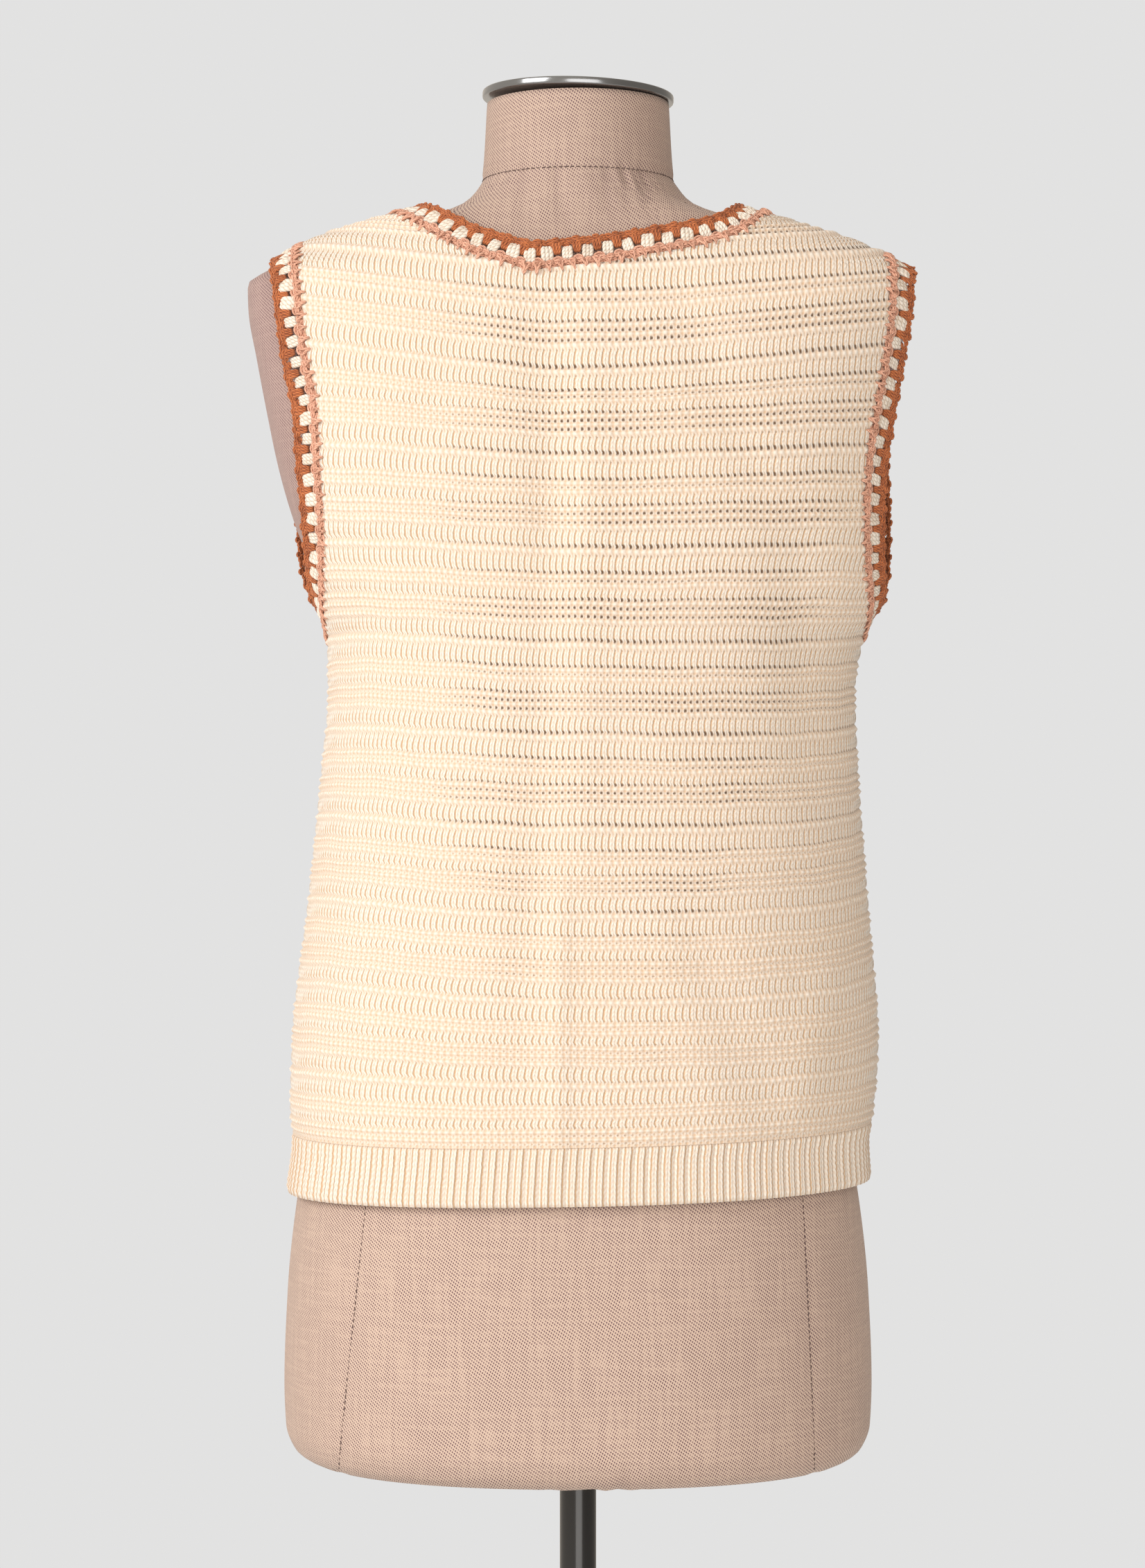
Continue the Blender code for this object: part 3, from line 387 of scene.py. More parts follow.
class Garment:
    """The cloth's outer face, as points for a course and an angle round the body."""

    small_rise = 0.004
    small_turn = 0.02
    rounds = 6
    crease_end = 0.3
    crease_fade = 0.45

    def height(self, label: Array, angle: Array, face: Face) -> Array:
        """The height of a course: its tilt, and on the back its sag and lean off the seams."""
        side = np.cos(angle)
        low = grown(CUT.underarm_z, label, CUT.underarm_z - CUT.hem_z)
        level = label + CUT.hem_tilt * low * side
        if face is Face.FRONT:
            return level
        sag, lean, soft = (COURSE_CURVES.read(name, label) for name in ("sag", "lean", "soft"))
        bow = (np.sqrt(side * side + soft * soft) - soft) / (np.sqrt(1 + soft * soft) - soft)
        return level - sag * (1 - bow) + lean * side * (1 - side**8)

    def point(self, label: Array, angle: Array, face: Face) -> Array:
        """Points of the plain cloth: angle 0 is the right side seam and pi the left one."""
        label, angle = np.broadcast_arrays(np.asarray(label, float), np.asarray(angle, float))
        z = self.height(label, angle, face)
        power = 2 / CLOTH_RINGS.read("power", z)
        right, left = CLOTH_RINGS.read("right", z), CLOTH_RINGS.read("left", z)
        side = np.where(np.cos(angle) > 0, right, -left)
        depth = CLOTH_RINGS.read(face.value, z) * face.sign
        across = side * np.abs(np.cos(angle)) ** power
        return np.stack([across, depth * np.abs(np.sin(angle)) ** power, z], -1)

    def out(self, label: Array, angle: Array, face: Face) -> Array:
        """Unit vectors that point out of the cloth."""
        rise, turn = self.small_rise, self.small_turn
        angle = np.clip(angle, 2 * turn, math.pi - 2 * turn)
        up = self.point(label + rise, angle, face) - self.point(label - rise, angle, face)
        across = self.point(label, angle + turn, face) - self.point(label, angle - turn, face)
        return unit(np.cross(across, up) * face.sign)

    def angle_of(self, label: Array, x: Array, face: Face) -> Array:
        """The angle at which a course passes the distance x from the centre line."""
        label, x = np.broadcast_arrays(np.asarray(label, float), np.asarray(x, float))
        angle = np.full_like(label, math.pi / 2)
        for _ in range(self.rounds):
            z = self.height(label, angle, face)
            right, left = CLOTH_RINGS.read("right", z), CLOTH_RINGS.read("left", z)
            side = np.where(x > 0, right, left)
            share = np.clip(np.abs(x) / side, 0, 1) ** (CLOTH_RINGS.read("power", z) / 2)
            angle = np.arccos(np.sign(x) * share)
        return angle

    def seam_angle(self, label: Array, face: Face) -> Array:
        """The angle that leaves half a seam's gap at a side or shoulder seam."""
        z = self.height(np.asarray(label, float), 0.0, face)
        power = CLOTH_RINGS.read("power", z) / 2
        return np.arcsin((CUT.seam_gap / CLOTH_RINGS.read(face.value, z)) ** power)

    def armhole_angle(self, label: Array, face: Face, side: Side) -> Array:
        """The angle of a panel's outer edge: side seam, armhole, then shoulder seam."""
        label = np.asarray(label, float)
        seam = self.seam_angle(label, face)
        x = side.sign * ARMHOLE_EDGES.read(f"{face.value}_{side.value}", label)
        from_x = self.angle_of(label, x, face)
        from_x = math.pi - from_x if side is Side.LEFT else from_x
        rise = np.clip(label - CUT.underarm_z, 0, CUT.scoop_radius)
        round_y = np.sqrt(rise * (2 * CUT.scoop_radius - rise))
        power = CLOTH_RINGS.read("power", label) / 2
        scoop = np.arcsin((round_y / CLOTH_RINGS.read(face.value, label)) ** power)
        low = label < CUT.underarm_z + CUT.scoop_radius
        inner = np.where(low, np.maximum(scoop, from_x), from_x)
        edge = np.where(label > CUT.underarm_z, np.maximum(seam, inner), seam)
        return math.pi - edge if side is Side.LEFT else edge

    def notch_angle(self, label: Array) -> Array:
        """The angle of the line up the back to the neck edge's lowest point."""
        return self.angle_of(label, CUT.neck_low_x, Face.BACK)

    def neck_angle(self, label: Array, side: Side) -> Array:
        """The angle of the back's neck edge on one side of the notch."""
        heights, reach = BACK_NECK_EDGE.column("z"), BACK_NECK_EDGE.column(side.value)
        edge = Table(("z", "x"), tuple(zip(heights, reach)))
        angle = self.notch_angle(label)
        for _ in range(self.rounds):
            x = edge.read("x", self.height(label, angle, Face.BACK))
            angle = self.angle_of(label, x, Face.BACK)
        return angle

    def front_edge_angle(self, label: Array, side: Side) -> Array:
        """The angle of a front's inner edge: the opening below, the vee neck above."""
        share = grown(label, CUT.vee_z, CUT.shoulder_neck_z - CUT.vee_z)
        neck_x = abs(BACK_NECK_EDGE.column(side.value)[-1])
        x = CUT.front_opening + (neck_x - CUT.front_opening) * share
        return self.angle_of(label, side.sign * x, Face.FRONT)

    def creased(self, points: Array, face: Face) -> Array:
        """How far the soft creases move each point out of the plain cloth, in metres."""
        moved = np.zeros(points.shape[:-1])
        flat = points[..., [0, 2]] / MM
        for where, start, end, width, rise in CREASES:
            if where is not face:
                continue
            line = np.array(end, float) - start
            share = np.clip(((flat - start) @ line) / (line @ line), -self.crease_end, 1 + self.crease_end)
            near = np.linalg.norm(flat - (start + share[..., None] * line), axis=-1)
            left = np.stack([self.crease_end + share, 1 + self.crease_end - share])
            ends = np.prod(np.clip(left / self.crease_fade, 0, 1), axis=0)
            moved += rise * bell(near, 0, width) * ends * ends * (3 - 2 * ends)
        return moved * MM


CLOTH = Garment()


def course_lengths() -> tuple[Array, Array]:
    """Heights up the back and the lengths of cloth from the hem rib to them."""
    heights = np.linspace(CUT.rib_top_z + CUT.rib_gap, CUT.shoulder_top_z, FINE)
    half = 0.5 * (CLOTH_RINGS.read("left", heights) + CLOTH_RINGS.read("right", heights))
    power = CLOTH_RINGS.read("power", heights)
    across = np.clip(1 - (CUT.mid_shoulder_x / half) ** power, 0, 1) ** (1 / power)
    depth = CLOTH_RINGS.read("back", heights) * across
    steps = np.hypot(np.diff(heights), np.diff(depth))
    return heights, np.concatenate([[0], np.cumsum(steps)])


@dataclass(frozen=True)
class Course:
    """One row of points across the knit."""

    label: float
    number: float
    rise: float
    wale: float
    purl: float
    hole: float
    slant: float = 0.0


@dataclass(frozen=True)
class Chart:
    """Where each row of the knit lies on the cloth."""

    phase: float = 0.429
    courses: int = 17
    clear: float = 0.0011

    def rows(self) -> list[Course]:
        """Every row from the hem rib up to the shoulder, with its relief in metres."""
        heights, length = course_lengths()
        top = float(length[-1])
        made = [Course(float(heights[0]), self.number_at(0.0), 0.0003, 0.0, 0.6, 0.0)]
        for repeat in range(-1, len(HOLE_ROWS) - 1):
            for share, course, rise, wale, purl, hole, slant in CHART.rows:
                place = self.place(repeat + share)
                if self.clear < place < top - self.clear:
                    label = float(np.interp(place, length, heights))
                    number = course + self.courses * (repeat + 1)
                    made.append(Course(label, number, rise * MM, wale * MM, purl, hole, slant))
        last = made[-1].number + 0.5
        return [*made, Course(float(heights[-1]), last, 0.0, 0.0, 0.4, 0.0)]

    def place(self, repeats: float) -> float:
        """The length of cloth from the hem rib to a place in the repeats."""
        rows = Table(("row", "length"), tuple(enumerate(HOLE_ROWS)))
        return float(rows.read("length", repeats - self.phase + 1))

    def number_at(self, place: float) -> float:
        """A course number for the row that lies against the hem rib."""
        return (self.phase + float(np.interp(place, HOLE_ROWS, range(len(HOLE_ROWS))))) * self.courses


@dataclass
class MeshMaker:
    """Collects points with their pattern values, and triangles between rows of them."""

    points: list[Array] = field(default_factory=list)
    values: list[Array] = field(default_factory=list)
    faces: list[tuple[int, int, int]] = field(default_factory=list)
    count: int = 0

    def row(self, points: Array, values: Array) -> list[int]:
        """Adds points with four pattern values each, and gives their numbers."""
        self.points.append(np.asarray(points, float))
        self.values.append(np.asarray(values, float))
        self.count += len(points)
        return list(range(self.count - len(points), self.count))

    def strip(self, one: list[int], two: list[int], at_one: Array, at_two: Array) -> None:
        """Joins two rows by triangles, in the order of each point's place along its row.

        Args:
            one: the lower row's points.
            two: the upper row's points.
            at_one: growing places of the lower row's points.
            at_two: growing places of the upper row's points.
        """
        i = j = 0
        while i < len(one) - 1 or j < len(two) - 1:
            last = j == len(two) - 1
            if last or (i < len(one) - 1 and at_one[i + 1] <= at_two[j + 1] + 1e-9):
                self.face(one[i], one[i + 1], two[j])
                i += 1
            else:
                self.face(one[i], two[j + 1], two[j])
                j += 1

    def face(self, a: int, b: int, c: int) -> None:
        """Adds one triangle."""
        if len({a, b, c}) == 3:
            self.faces.append((a, b, c))

    def grid(self, rows: Sequence[list[int]]) -> None:
        """Joins rows of equal length."""
        places = np.arange(len(rows[0]), dtype=float)
        for low, high in zip(rows, rows[1:]):
            self.strip(low, high, places, places)

    def shell(self, outer: list[list[int]], inner: list[list[int]], at_outer: Array, at_inner: Array) -> None:
        """Closes two layers of rows into one shell.

        Args:
            outer: the outer layer's rows.
            inner: the inner layer's rows, as many.
            at_outer: places of the points along an outer row.
            at_inner: places of the points along an inner row.
        """
        layers = (outer, inner)
        for rows in layers:
            self.grid(rows)
        for index in (0, -1):
            self.strip(outer[index], inner[index], at_outer, at_inner)
            self.grid([[row[index] for row in rows] for rows in layers])

    def finish(self, name: str, material: Material, merge: float = 0.0) -> Object:
        """Makes the object, with its faces outwards and its pattern in two attributes.

        Args:
            name: the piece's name.
            material: its finish.
            merge: points closer than this become one.

        Returns:
            The object, in the scene.
        """
        data = bpy.data.meshes.new(name)
        data.from_pydata(np.concatenate(self.points), [], self.faces)
        values = np.concatenate(self.values)
        store(data, "stitch", values[:, :3])
        store(data, "hole", values[:, 3])
        close_up(data, merge)
        data.materials.append(material)
        return placed(name, data)


Socket = NodeSocket
Value = float | Socket


class Nodes:
    """Short ways to add nodes to a shader or geometry tree."""

    def __init__(self, tree: NodeTree) -> None:
        """Keeps the tree that the nodes go into."""
        self.tree = tree

    def add(self, kind: str, **settings: object) -> Node:
        """Adds a node and sets its properties."""
        node = self.tree.nodes.new(kind)
        for name, value in settings.items():
            setattr(node, name, value)
        return node

    def put(self, socket: Socket, value: Value | Sequence[float]) -> None:
        """Links a socket to another one, or sets it to a plain value."""
        if isinstance(value, NodeSocket):
            self.tree.links.new(value, socket)
        else:
            socket.default_value = value

    def fed(self, kind: str, inputs: dict[str | int, Value | Sequence[float]], **settings: object) -> Socket:
        """The first output of a new node with these inputs and settings."""
        node = self.add(kind, **settings)
        for name, value in inputs.items():
            self.put(node.inputs[name], value)
        return node.outputs[0]

    def maths(self, operation: str, *values: Value, clamp: bool = False) -> Socket:
        """The result of a Math node."""
        return self.fed("ShaderNodeMath", dict(enumerate(values)), operation=operation, use_clamp=clamp)

    def times(self, one: Value, two: Value, clamp: bool = False) -> Socket:
        """One value times another."""
        return self.maths("MULTIPLY", one, two, clamp=clamp)

    def plus(self, one: Value, two: Value, clamp: bool = False) -> Socket:
        """One value and another."""
        return self.maths("ADD", one, two, clamp=clamp)

    def minus(self, one: Value, two: Value, clamp: bool = False) -> Socket:
        """One value less another."""
        return self.maths("SUBTRACT", one, two, clamp=clamp)

    def parts(self, vector: Socket) -> list[Socket]:
        """The three numbers of a vector."""
        node = self.add("ShaderNodeSeparateXYZ")
        self.put(node.inputs[0], vector)
        return list(node.outputs)

    def vector(self, *values: Value) -> Socket:
        """A vector from up to three numbers."""
        return self.fed("ShaderNodeCombineXYZ", dict(enumerate(values)))

    def place(self) -> Socket:
        """The place on the piece."""
        return self.add("ShaderNodeTexCoord").outputs["Object"]

    def pattern(self, name: str = "stitch") -> Node:
        """One of the piece's own patterns, kept with its points."""
        return self.add("ShaderNodeAttribute", attribute_name=name)

    def blend(self, share: Value, one: Colour | Socket, two: Colour | Socket) -> Socket:
        """A mix of two colours."""
        node = self.add("ShaderNodeMix", data_type="RGBA")
        self.put(node.inputs[0], share)
        for socket, colour in zip((node.inputs[6], node.inputs[7]), (one, two)):
            self.put(socket, (*colour, 1.0) if isinstance(colour, tuple) else colour)
        return node.outputs[2]

    def ramp(self, value: Value, low: float, high: float, to_low: float = 0.0, to_high: float = 1.0) -> Socket:
        """A value carried smoothly from one range to another."""
        ranges = dict(enumerate((value, low, high, to_low, to_high)))
        return self.fed("ShaderNodeMapRange", ranges, interpolation_type="SMOOTHSTEP")

    def noise(self, place: Socket, scale: float, detail: float = 2.0) -> Socket:
        """Even noise from 0 to 1 at a place."""
        return self.fed("ShaderNodeTexNoise", {"Vector": place, "Scale": scale, "Detail": detail})

    def group(self, group: NodeTree, **values: Value | Sequence[float]) -> Node:
        """Adds a group and fills its named inputs."""
        node = self.add("ShaderNodeGroup", node_tree=group)
        for name, value in values.items():
            self.put(node.inputs[name.replace("_", " ").capitalize()], value)
        return node


def shader_group(
    name: str, inputs: Sequence[str], outputs: Sequence[str], kind: str = "Float"
) -> tuple[Nodes, list[Socket], Node]:
    """Starts a shader group that puts out numbers.

    Args:
        name: the group's name.
        inputs: names of its inputs.
        outputs: names of its outputs.
        kind: what its inputs take, Float or Vector.

    Returns:
        The node adder, the group's inputs in their order and its output node.
    """
    tree = bpy.data.node_groups.new(name, "ShaderNodeTree")
    for way, names, what in (("INPUT", inputs, kind), ("OUTPUT", outputs, "Float")):
        for socket in names:
            tree.interface.new_socket(socket, in_out=way, socket_type=f"NodeSocket{what}")
    nodes = Nodes(tree)
    given = nodes.add("NodeGroupInput").outputs
    return nodes, [given[socket] for socket in inputs], nodes.add("NodeGroupOutput")


def knit_group() -> NodeTree:
    """Knit loops from the wale and the course: their relief in metres, the hollows that get painted shade, and the
    open holes.
    """
    nodes, (wale, course, purl, hole), result = shader_group(
        "knit_loops", ("Wale", "Course", "Purl", "Hole"), ("Height", "Hollow shade", "Open"))
    loop_rise, hole_depth = 0.00085, 0.0012
    off = nodes.maths("PINGPONG", wale, 0.5)
    seam = nodes.ramp(off, 0.31, 0.48)
    middle = nodes.ramp(off, 0.09, 0.0, 0.0, 0.35)
    slant = nodes.plus(course, nodes.times(off, 1.3))
    loop = nodes.maths("COSINE", nodes.times(slant, TURN))
    leg = nodes.minus(1.0, nodes.plus(seam, middle))
    knit = nodes.times(leg, nodes.maths("MULTIPLY_ADD", loop, 0.13, 0.87))
    nub = nodes.maths("COSINE", nodes.times(wale, TURN))
    arc = nodes.maths("COSINE", nodes.times(course, TURN))
    bump = nodes.plus(nodes.maths("MULTIPLY_ADD", nub, -0.30, 0.60), nodes.times(arc, 0.16))
    mixed = nodes.plus(nodes.times(bump, purl), nodes.times(knit, nodes.minus(1.0, purl)))
    dots = nodes.ramp(nodes.times(nub, -1.0), 0.15, 0.85)
    open_hole = nodes.times(nodes.ramp(hole, 0.12, 0.75), nodes.maths("MULTIPLY_ADD", dots, 0.92, 0.08))
    height = nodes.minus(nodes.times(mixed, loop_rise), nodes.times(open_hole, hole_depth))
    nodes.put(result.inputs["Height"], height)
    # The hollows between the loops, where the knit gets painted shade.
    nodes.put(result.inputs["Hollow shade"], nodes.minus(1.0, mixed, clamp=True))
    nodes.put(result.inputs["Open"], open_hole)
    return nodes.tree


def yarn_group() -> NodeTree:
    """Twisted plies from the place along and round a strand: relief, and hollows that get painted shade."""
    nodes, (along, turn, plies), result = shader_group(
        "yarn_plies", ("Along", "Round", "Plies"), ("Height", "Hollow shade"))
    twists, ply_rise = 1 / 2.6 / MM, 0.00035
    phase = nodes.plus(nodes.times(along, twists), nodes.times(turn, plies))
    ply = nodes.maths("ABSOLUTE", nodes.maths("SINE", nodes.times(phase, math.pi)))
    nodes.put(result.inputs["Height"], nodes.times(ply, ply_rise))
    hollow_shade = nodes.minus(1.0, ply)
    nodes.put(result.inputs["Hollow shade"], nodes.times(hollow_shade, hollow_shade))
    return nodes.tree


def fibre_group() -> NodeTree:
    """Fine fibre and slow dye change at a place, for every cloth and yarn."""
    nodes, (place,), result = shader_group("fibre", ("Place",), ("Fine", "Slow"), "Vector")
    for name, scale in (("Fine", 1500.0), ("Slow", 14.0)):
        nodes.put(result.inputs[name], nodes.noise(place, scale, 3.0))
    return nodes.tree


@dataclass(frozen=True)
class Groups:
    """The shader groups that several finishes share."""

    knit: NodeTree = field(default_factory=knit_group)
    yarn: NodeTree = field(default_factory=yarn_group)
    fibre: NodeTree = field(default_factory=fibre_group)


GROUPS = Groups()


class Finish(Nodes):
    """A new material: the nodes round its Principled shader."""

    def __init__(self, name: str) -> None:
        """Starts the material."""
        self.material = bpy.data.materials.new(name)
        self.material.use_nodes = True
        super().__init__(self.material.node_tree)
        self.shader = self.tree.nodes["Principled BSDF"]

    def plain(self, **values: float) -> None:
        """Sets numbers that are the same all over, each named for its socket."""
        names = {"specular": "Specular IOR Level"}
        for name, value in values.items():
            self.shader.inputs[names.get(name, name.replace("_", " ").title())].default_value = value

    def done(self, colour: Socket, rough: Socket, height: Socket, strength: float = 1.0) -> Material:
        """Feeds the shader and gives the material.

        Args:
            colour: its base colour.
            rough: its roughness.
            height: its relief in metres.
            strength: how much of the relief shows.

        Returns:
            The material.
        """
        bump = self.add("ShaderNodeBump")
        bump.inputs["Strength"].default_value = strength
        bump.inputs["Distance"].default_value = 1.0
        self.put(bump.inputs["Height"], height)
        for name, socket in (("Base Color", colour), ("Roughness", rough), ("Normal", bump.outputs[0])):
            self.put(self.shader.inputs[name], socket)
        return self.material


@dataclass(frozen=True)
class KnitFinish:
    """Undyed yarn, knitted: loops by wale and course, with painted shade: tan in the hollows and brown in the holes.
    """

    name: str = "cream_knit"
    cream: Colour = (0.853, 0.802, 0.742)
    warm: Colour = (0.85, 0.748, 0.618)
    # The colour of the painted shade in the knit's hollows.
    hollow_shade: Colour = (0.64, 0.40, 0.22)
    # The colour of the painted shade in the open holes, where the form would show through in shadow.
    hole_shade: Colour = (0.13, 0.062, 0.026)
    fuzz: float = 0.00018

    def make(self) -> Material:
        """Builds the material."""
        nodes = Finish(self.name)
        wale, course, purl = nodes.parts(nodes.pattern().outputs["Vector"])
        place = nodes.place()
        fibre = nodes.group(GROUPS.fibre, place=place).outputs
        wander = nodes.times(nodes.minus(nodes.noise(place, 260.0), 0.5), 0.22)
        loops = nodes.group(
            GROUPS.knit,
            wale=nodes.plus(wale, wander),
            course=nodes.plus(course, wander),
            purl=purl,
            hole=nodes.pattern("hole").outputs["Fac"],
        ).outputs
        base = nodes.blend(nodes.times(fibre["Slow"], 0.45), self.cream, self.warm)
        # Painted shade in the hollows, tan, its strength varied by the fine fibre noise.
        hollow_shade_spread = nodes.ramp(fibre["Fine"], 0.2, 0.8, 0.82, 1.22)
        yarn = nodes.blend(nodes.times(loops["Hollow shade"], hollow_shade_spread, clamp=True), base, self.hollow_shade)
        # Painted shade in the open holes: dark brown.
        colour = nodes.blend(nodes.times(loops["Open"], 0.9), yarn, self.hole_shade)
        nodes.plain(sheen_weight=0.22, sheen_roughness=0.5, specular=0.25)
        height = nodes.plus(loops["Height"], nodes.times(fibre["Fine"], self.fuzz))
        return nodes.done(colour, nodes.ramp(fibre["Fine"], 0.2, 0.8, 0.78, 0.95), height, 0.8)


@dataclass(frozen=True)
class YarnFinish:
    """Crochet yarn of one colour, with twisted plies and hollows darkened as painted shade."""

    name: str
    light: Colour
    # The colour of the painted shade in the ply hollows, and of the random darker patches.
    dark: Colour
    plies: float = 3.0
    fuzz: float = 0.0002

    def make(self) -> Material:
        """Builds the material."""
        nodes = Finish(self.name)
        along, turn, _ = nodes.parts(nodes.pattern().outputs["Vector"])
        place = nodes.place()
        fine = nodes.group(GROUPS.fibre, place=place).outputs["Fine"]
        plies = nodes.group(GROUPS.yarn, along=along, round=turn, plies=self.plies).outputs
        uneven = nodes.ramp(nodes.noise(place, 180.0, 3.0), 0.35, 0.75, 0.0, 0.4)
        # Painted shade in the ply hollows, with random darker patches of the yarn's tone.
        dark = nodes.plus(nodes.times(plies["Hollow shade"], 0.75), uneven, clamp=True)
        nodes.plain(sheen_weight=0.12, specular=0.3)
        return nodes.done(nodes.blend(dark, self.light, self.dark), nodes.ramp(fine, 0.2, 0.8, 0.7, 0.92),
                          nodes.plus(plies["Height"], nodes.times(fine, self.fuzz)))


@dataclass(frozen=True)
class TwillFinish:
    """The form's cover: a beige twill with dark flecks along its slanted ribs, and painted shade in its puckers and
    up its neck.
    """

    name: str = "form_cover"
    beige: Colour = (0.645, 0.49, 0.393)
    fleck: Colour = (0.150, 0.085, 0.095)
    plum: Colour = (0.33, 0.215, 0.225)
    # The colour of the painted shade on the form's neck.
    neck: Colour = (0.42, 0.315, 0.25)
    rib_pitch: float = 0.0021
    rib_rise: float = 0.00022

    def make(self) -> Material:
        """Builds the material."""
        nodes = Finish(self.name)
        around, up, pucker_shade = nodes.parts(nodes.pattern().outputs["Vector"])
        fibre = nodes.group(GROUPS.fibre, place=nodes.place()).outputs
        steep = nodes.plus(nodes.times(around, 0.75), up)
        flat = nodes.minus(nodes.times(around, 1.3), nodes.times(up, 0.5))
        rib, cross = (nodes.maths("PINGPONG", nodes.maths("DIVIDE", line, pitch), 0.5)
                      for line, pitch in ((steep, self.rib_pitch), (flat, self.rib_pitch * 0.9)))
        dots = nodes.times(nodes.ramp(rib, 0.12, 0.34), nodes.ramp(cross, 0.08, 0.34))
        slubs, picks = (nodes.noise(nodes.vector(nodes.times(around, wide), nodes.times(up, high)), 1.0)
                        for wide, high in ((420.0, 24.0), (30.0, 480.0)))
        patchy = nodes.ramp(nodes.plus(slubs, picks), 0.70, 1.25, 0.52, 1.0)
        fleck = nodes.times(nodes.times(dots, patchy), 1.3)
        # Painted shade: the flecks thicken in the troughs of the puckers and pleats.
        fleck = nodes.plus(fleck, nodes.times(pucker_shade, 0.35), clamp=True)
        x, _, z = nodes.parts(nodes.place())
        arm = nodes.times(nodes.ramp(nodes.maths("ABSOLUTE", x), 0.120, 0.175), nodes.ramp(z, 1.15, 1.25))
        arm = nodes.plus(nodes.times(arm, 0.55), nodes.times(fibre["Slow"], 0.12))
        # Painted shade: the cover darkens towards the neck, from 1.40 m up.
        neck_shade = nodes.times(nodes.ramp(z, 1.40, 1.47), 0.37)
        ground = nodes.blend(arm, nodes.blend(neck_shade, self.beige, self.neck), self.plum)
        nodes.plain(sheen_weight=0.1, specular=0.35)
        rough = nodes.ramp(fibre["Fine"], 0.2, 0.8, 0.65, 0.85)
        height = nodes.times(nodes.plus(rib, cross), self.rib_rise)
        return nodes.done(nodes.blend(fleck, ground, self.fleck), rough, height, 0.8)


@dataclass(frozen=True)
class MetalFinish:
    """Turned metal: fine rings round its axis, with faint smears."""

    name: str
    colour: Colour
    metallic: float
    rough: tuple[float, float]
    rings: float
    coat: float = 0.0
    dulled: float = 0.82
    scratch: float = 0.00002

    def make(self) -> Material:
        """Builds the material."""
        nodes = Finish(self.name)
        place = nodes.place()
        x, y, z = nodes.parts(place)
        radius = nodes.maths("SQRT", nodes.plus(nodes.maths("POWER", x, 2.0), nodes.maths("POWER", y, 2.0)))
        rings = nodes.vector(nodes.times(radius, self.rings), 0.0, nodes.times(z, self.rings * 0.02))
        lines = nodes.noise(rings, 1.0, 3.0)
        smear = nodes.noise(place, 30.0, 3.0)
        rough = nodes.ramp(nodes.times(nodes.plus(lines, smear), 0.5), 0.3, 0.7, *self.rough)
        darker = tuple(self.dulled * c for c in self.colour)
        nodes.plain(metallic=self.metallic, coat_weight=self.coat, coat_roughness=0.12)
        return nodes.done(nodes.blend(nodes.times(lines, 0.6), self.colour, darker), rough,
                          nodes.times(lines, self.scratch), 0.5)


@dataclass(frozen=True)
class HornFinish:
    """Horn buttons: warm streaks under a soft polish."""

    name: str = "horn"
    light: Colour = (0.62, 0.45, 0.28)
    dark: Colour = (0.25, 0.14, 0.07)
    grain: float = 0.00003

    def make(self) -> Material:
        """Builds the material."""
        nodes = Finish(self.name)
        stretch = nodes.add("ShaderNodeMapping")
        nodes.put(stretch.inputs["Vector"], nodes.place())
        stretch.inputs["Scale"].default_value = (1.0, 1.0, 0.3)
        streaks = nodes.noise(stretch.outputs[0], 420.0, 4.0)
        nodes.plain(coat_weight=0.25)
        return nodes.done(nodes.blend(nodes.ramp(streaks, 0.3, 0.75), self.light, self.dark),
                          nodes.ramp(streaks, 0.2, 0.8, 0.22, 0.4), nodes.times(streaks, self.grain), 0.5)


@dataclass(frozen=True)
class Finishes:
    """Every finish of the part, made once."""

    knit: Material = field(default_factory=KnitFinish().make)
    cream_yarn: Material = field(
        default_factory=YarnFinish("cream_yarn", (0.86, 0.80, 0.72), (0.58, 0.44, 0.32), 2.0).make)
    rust_yarn: Material = field(
        default_factory=YarnFinish("rust_yarn", (0.58, 0.185, 0.065), (0.15, 0.030, 0.015)).make)
    pink_yarn: Material = field(
        default_factory=YarnFinish("pink_yarn", (0.84, 0.475, 0.345), (0.50, 0.22, 0.13)).make)
    cover: Material = field(default_factory=TwillFinish().make)
    thread: Material = field(
        default_factory=YarnFinish("seam_thread", (0.20, 0.12, 0.11), (0.07, 0.04, 0.04)).make)
    steel: Material = field(
        default_factory=MetalFinish("brushed_steel", (0.27, 0.278, 0.29), 1.0, (0.13, 0.24), 5200.0).make)
    black: Material = field(
        default_factory=MetalFinish("black_lacquer", (0.012, 0.012, 0.013), 0.0, (0.16, 0.26), 900.0, 0.2).make)
    horn: Material = field(default_factory=HornFinish().make)


FINISH = Finishes()


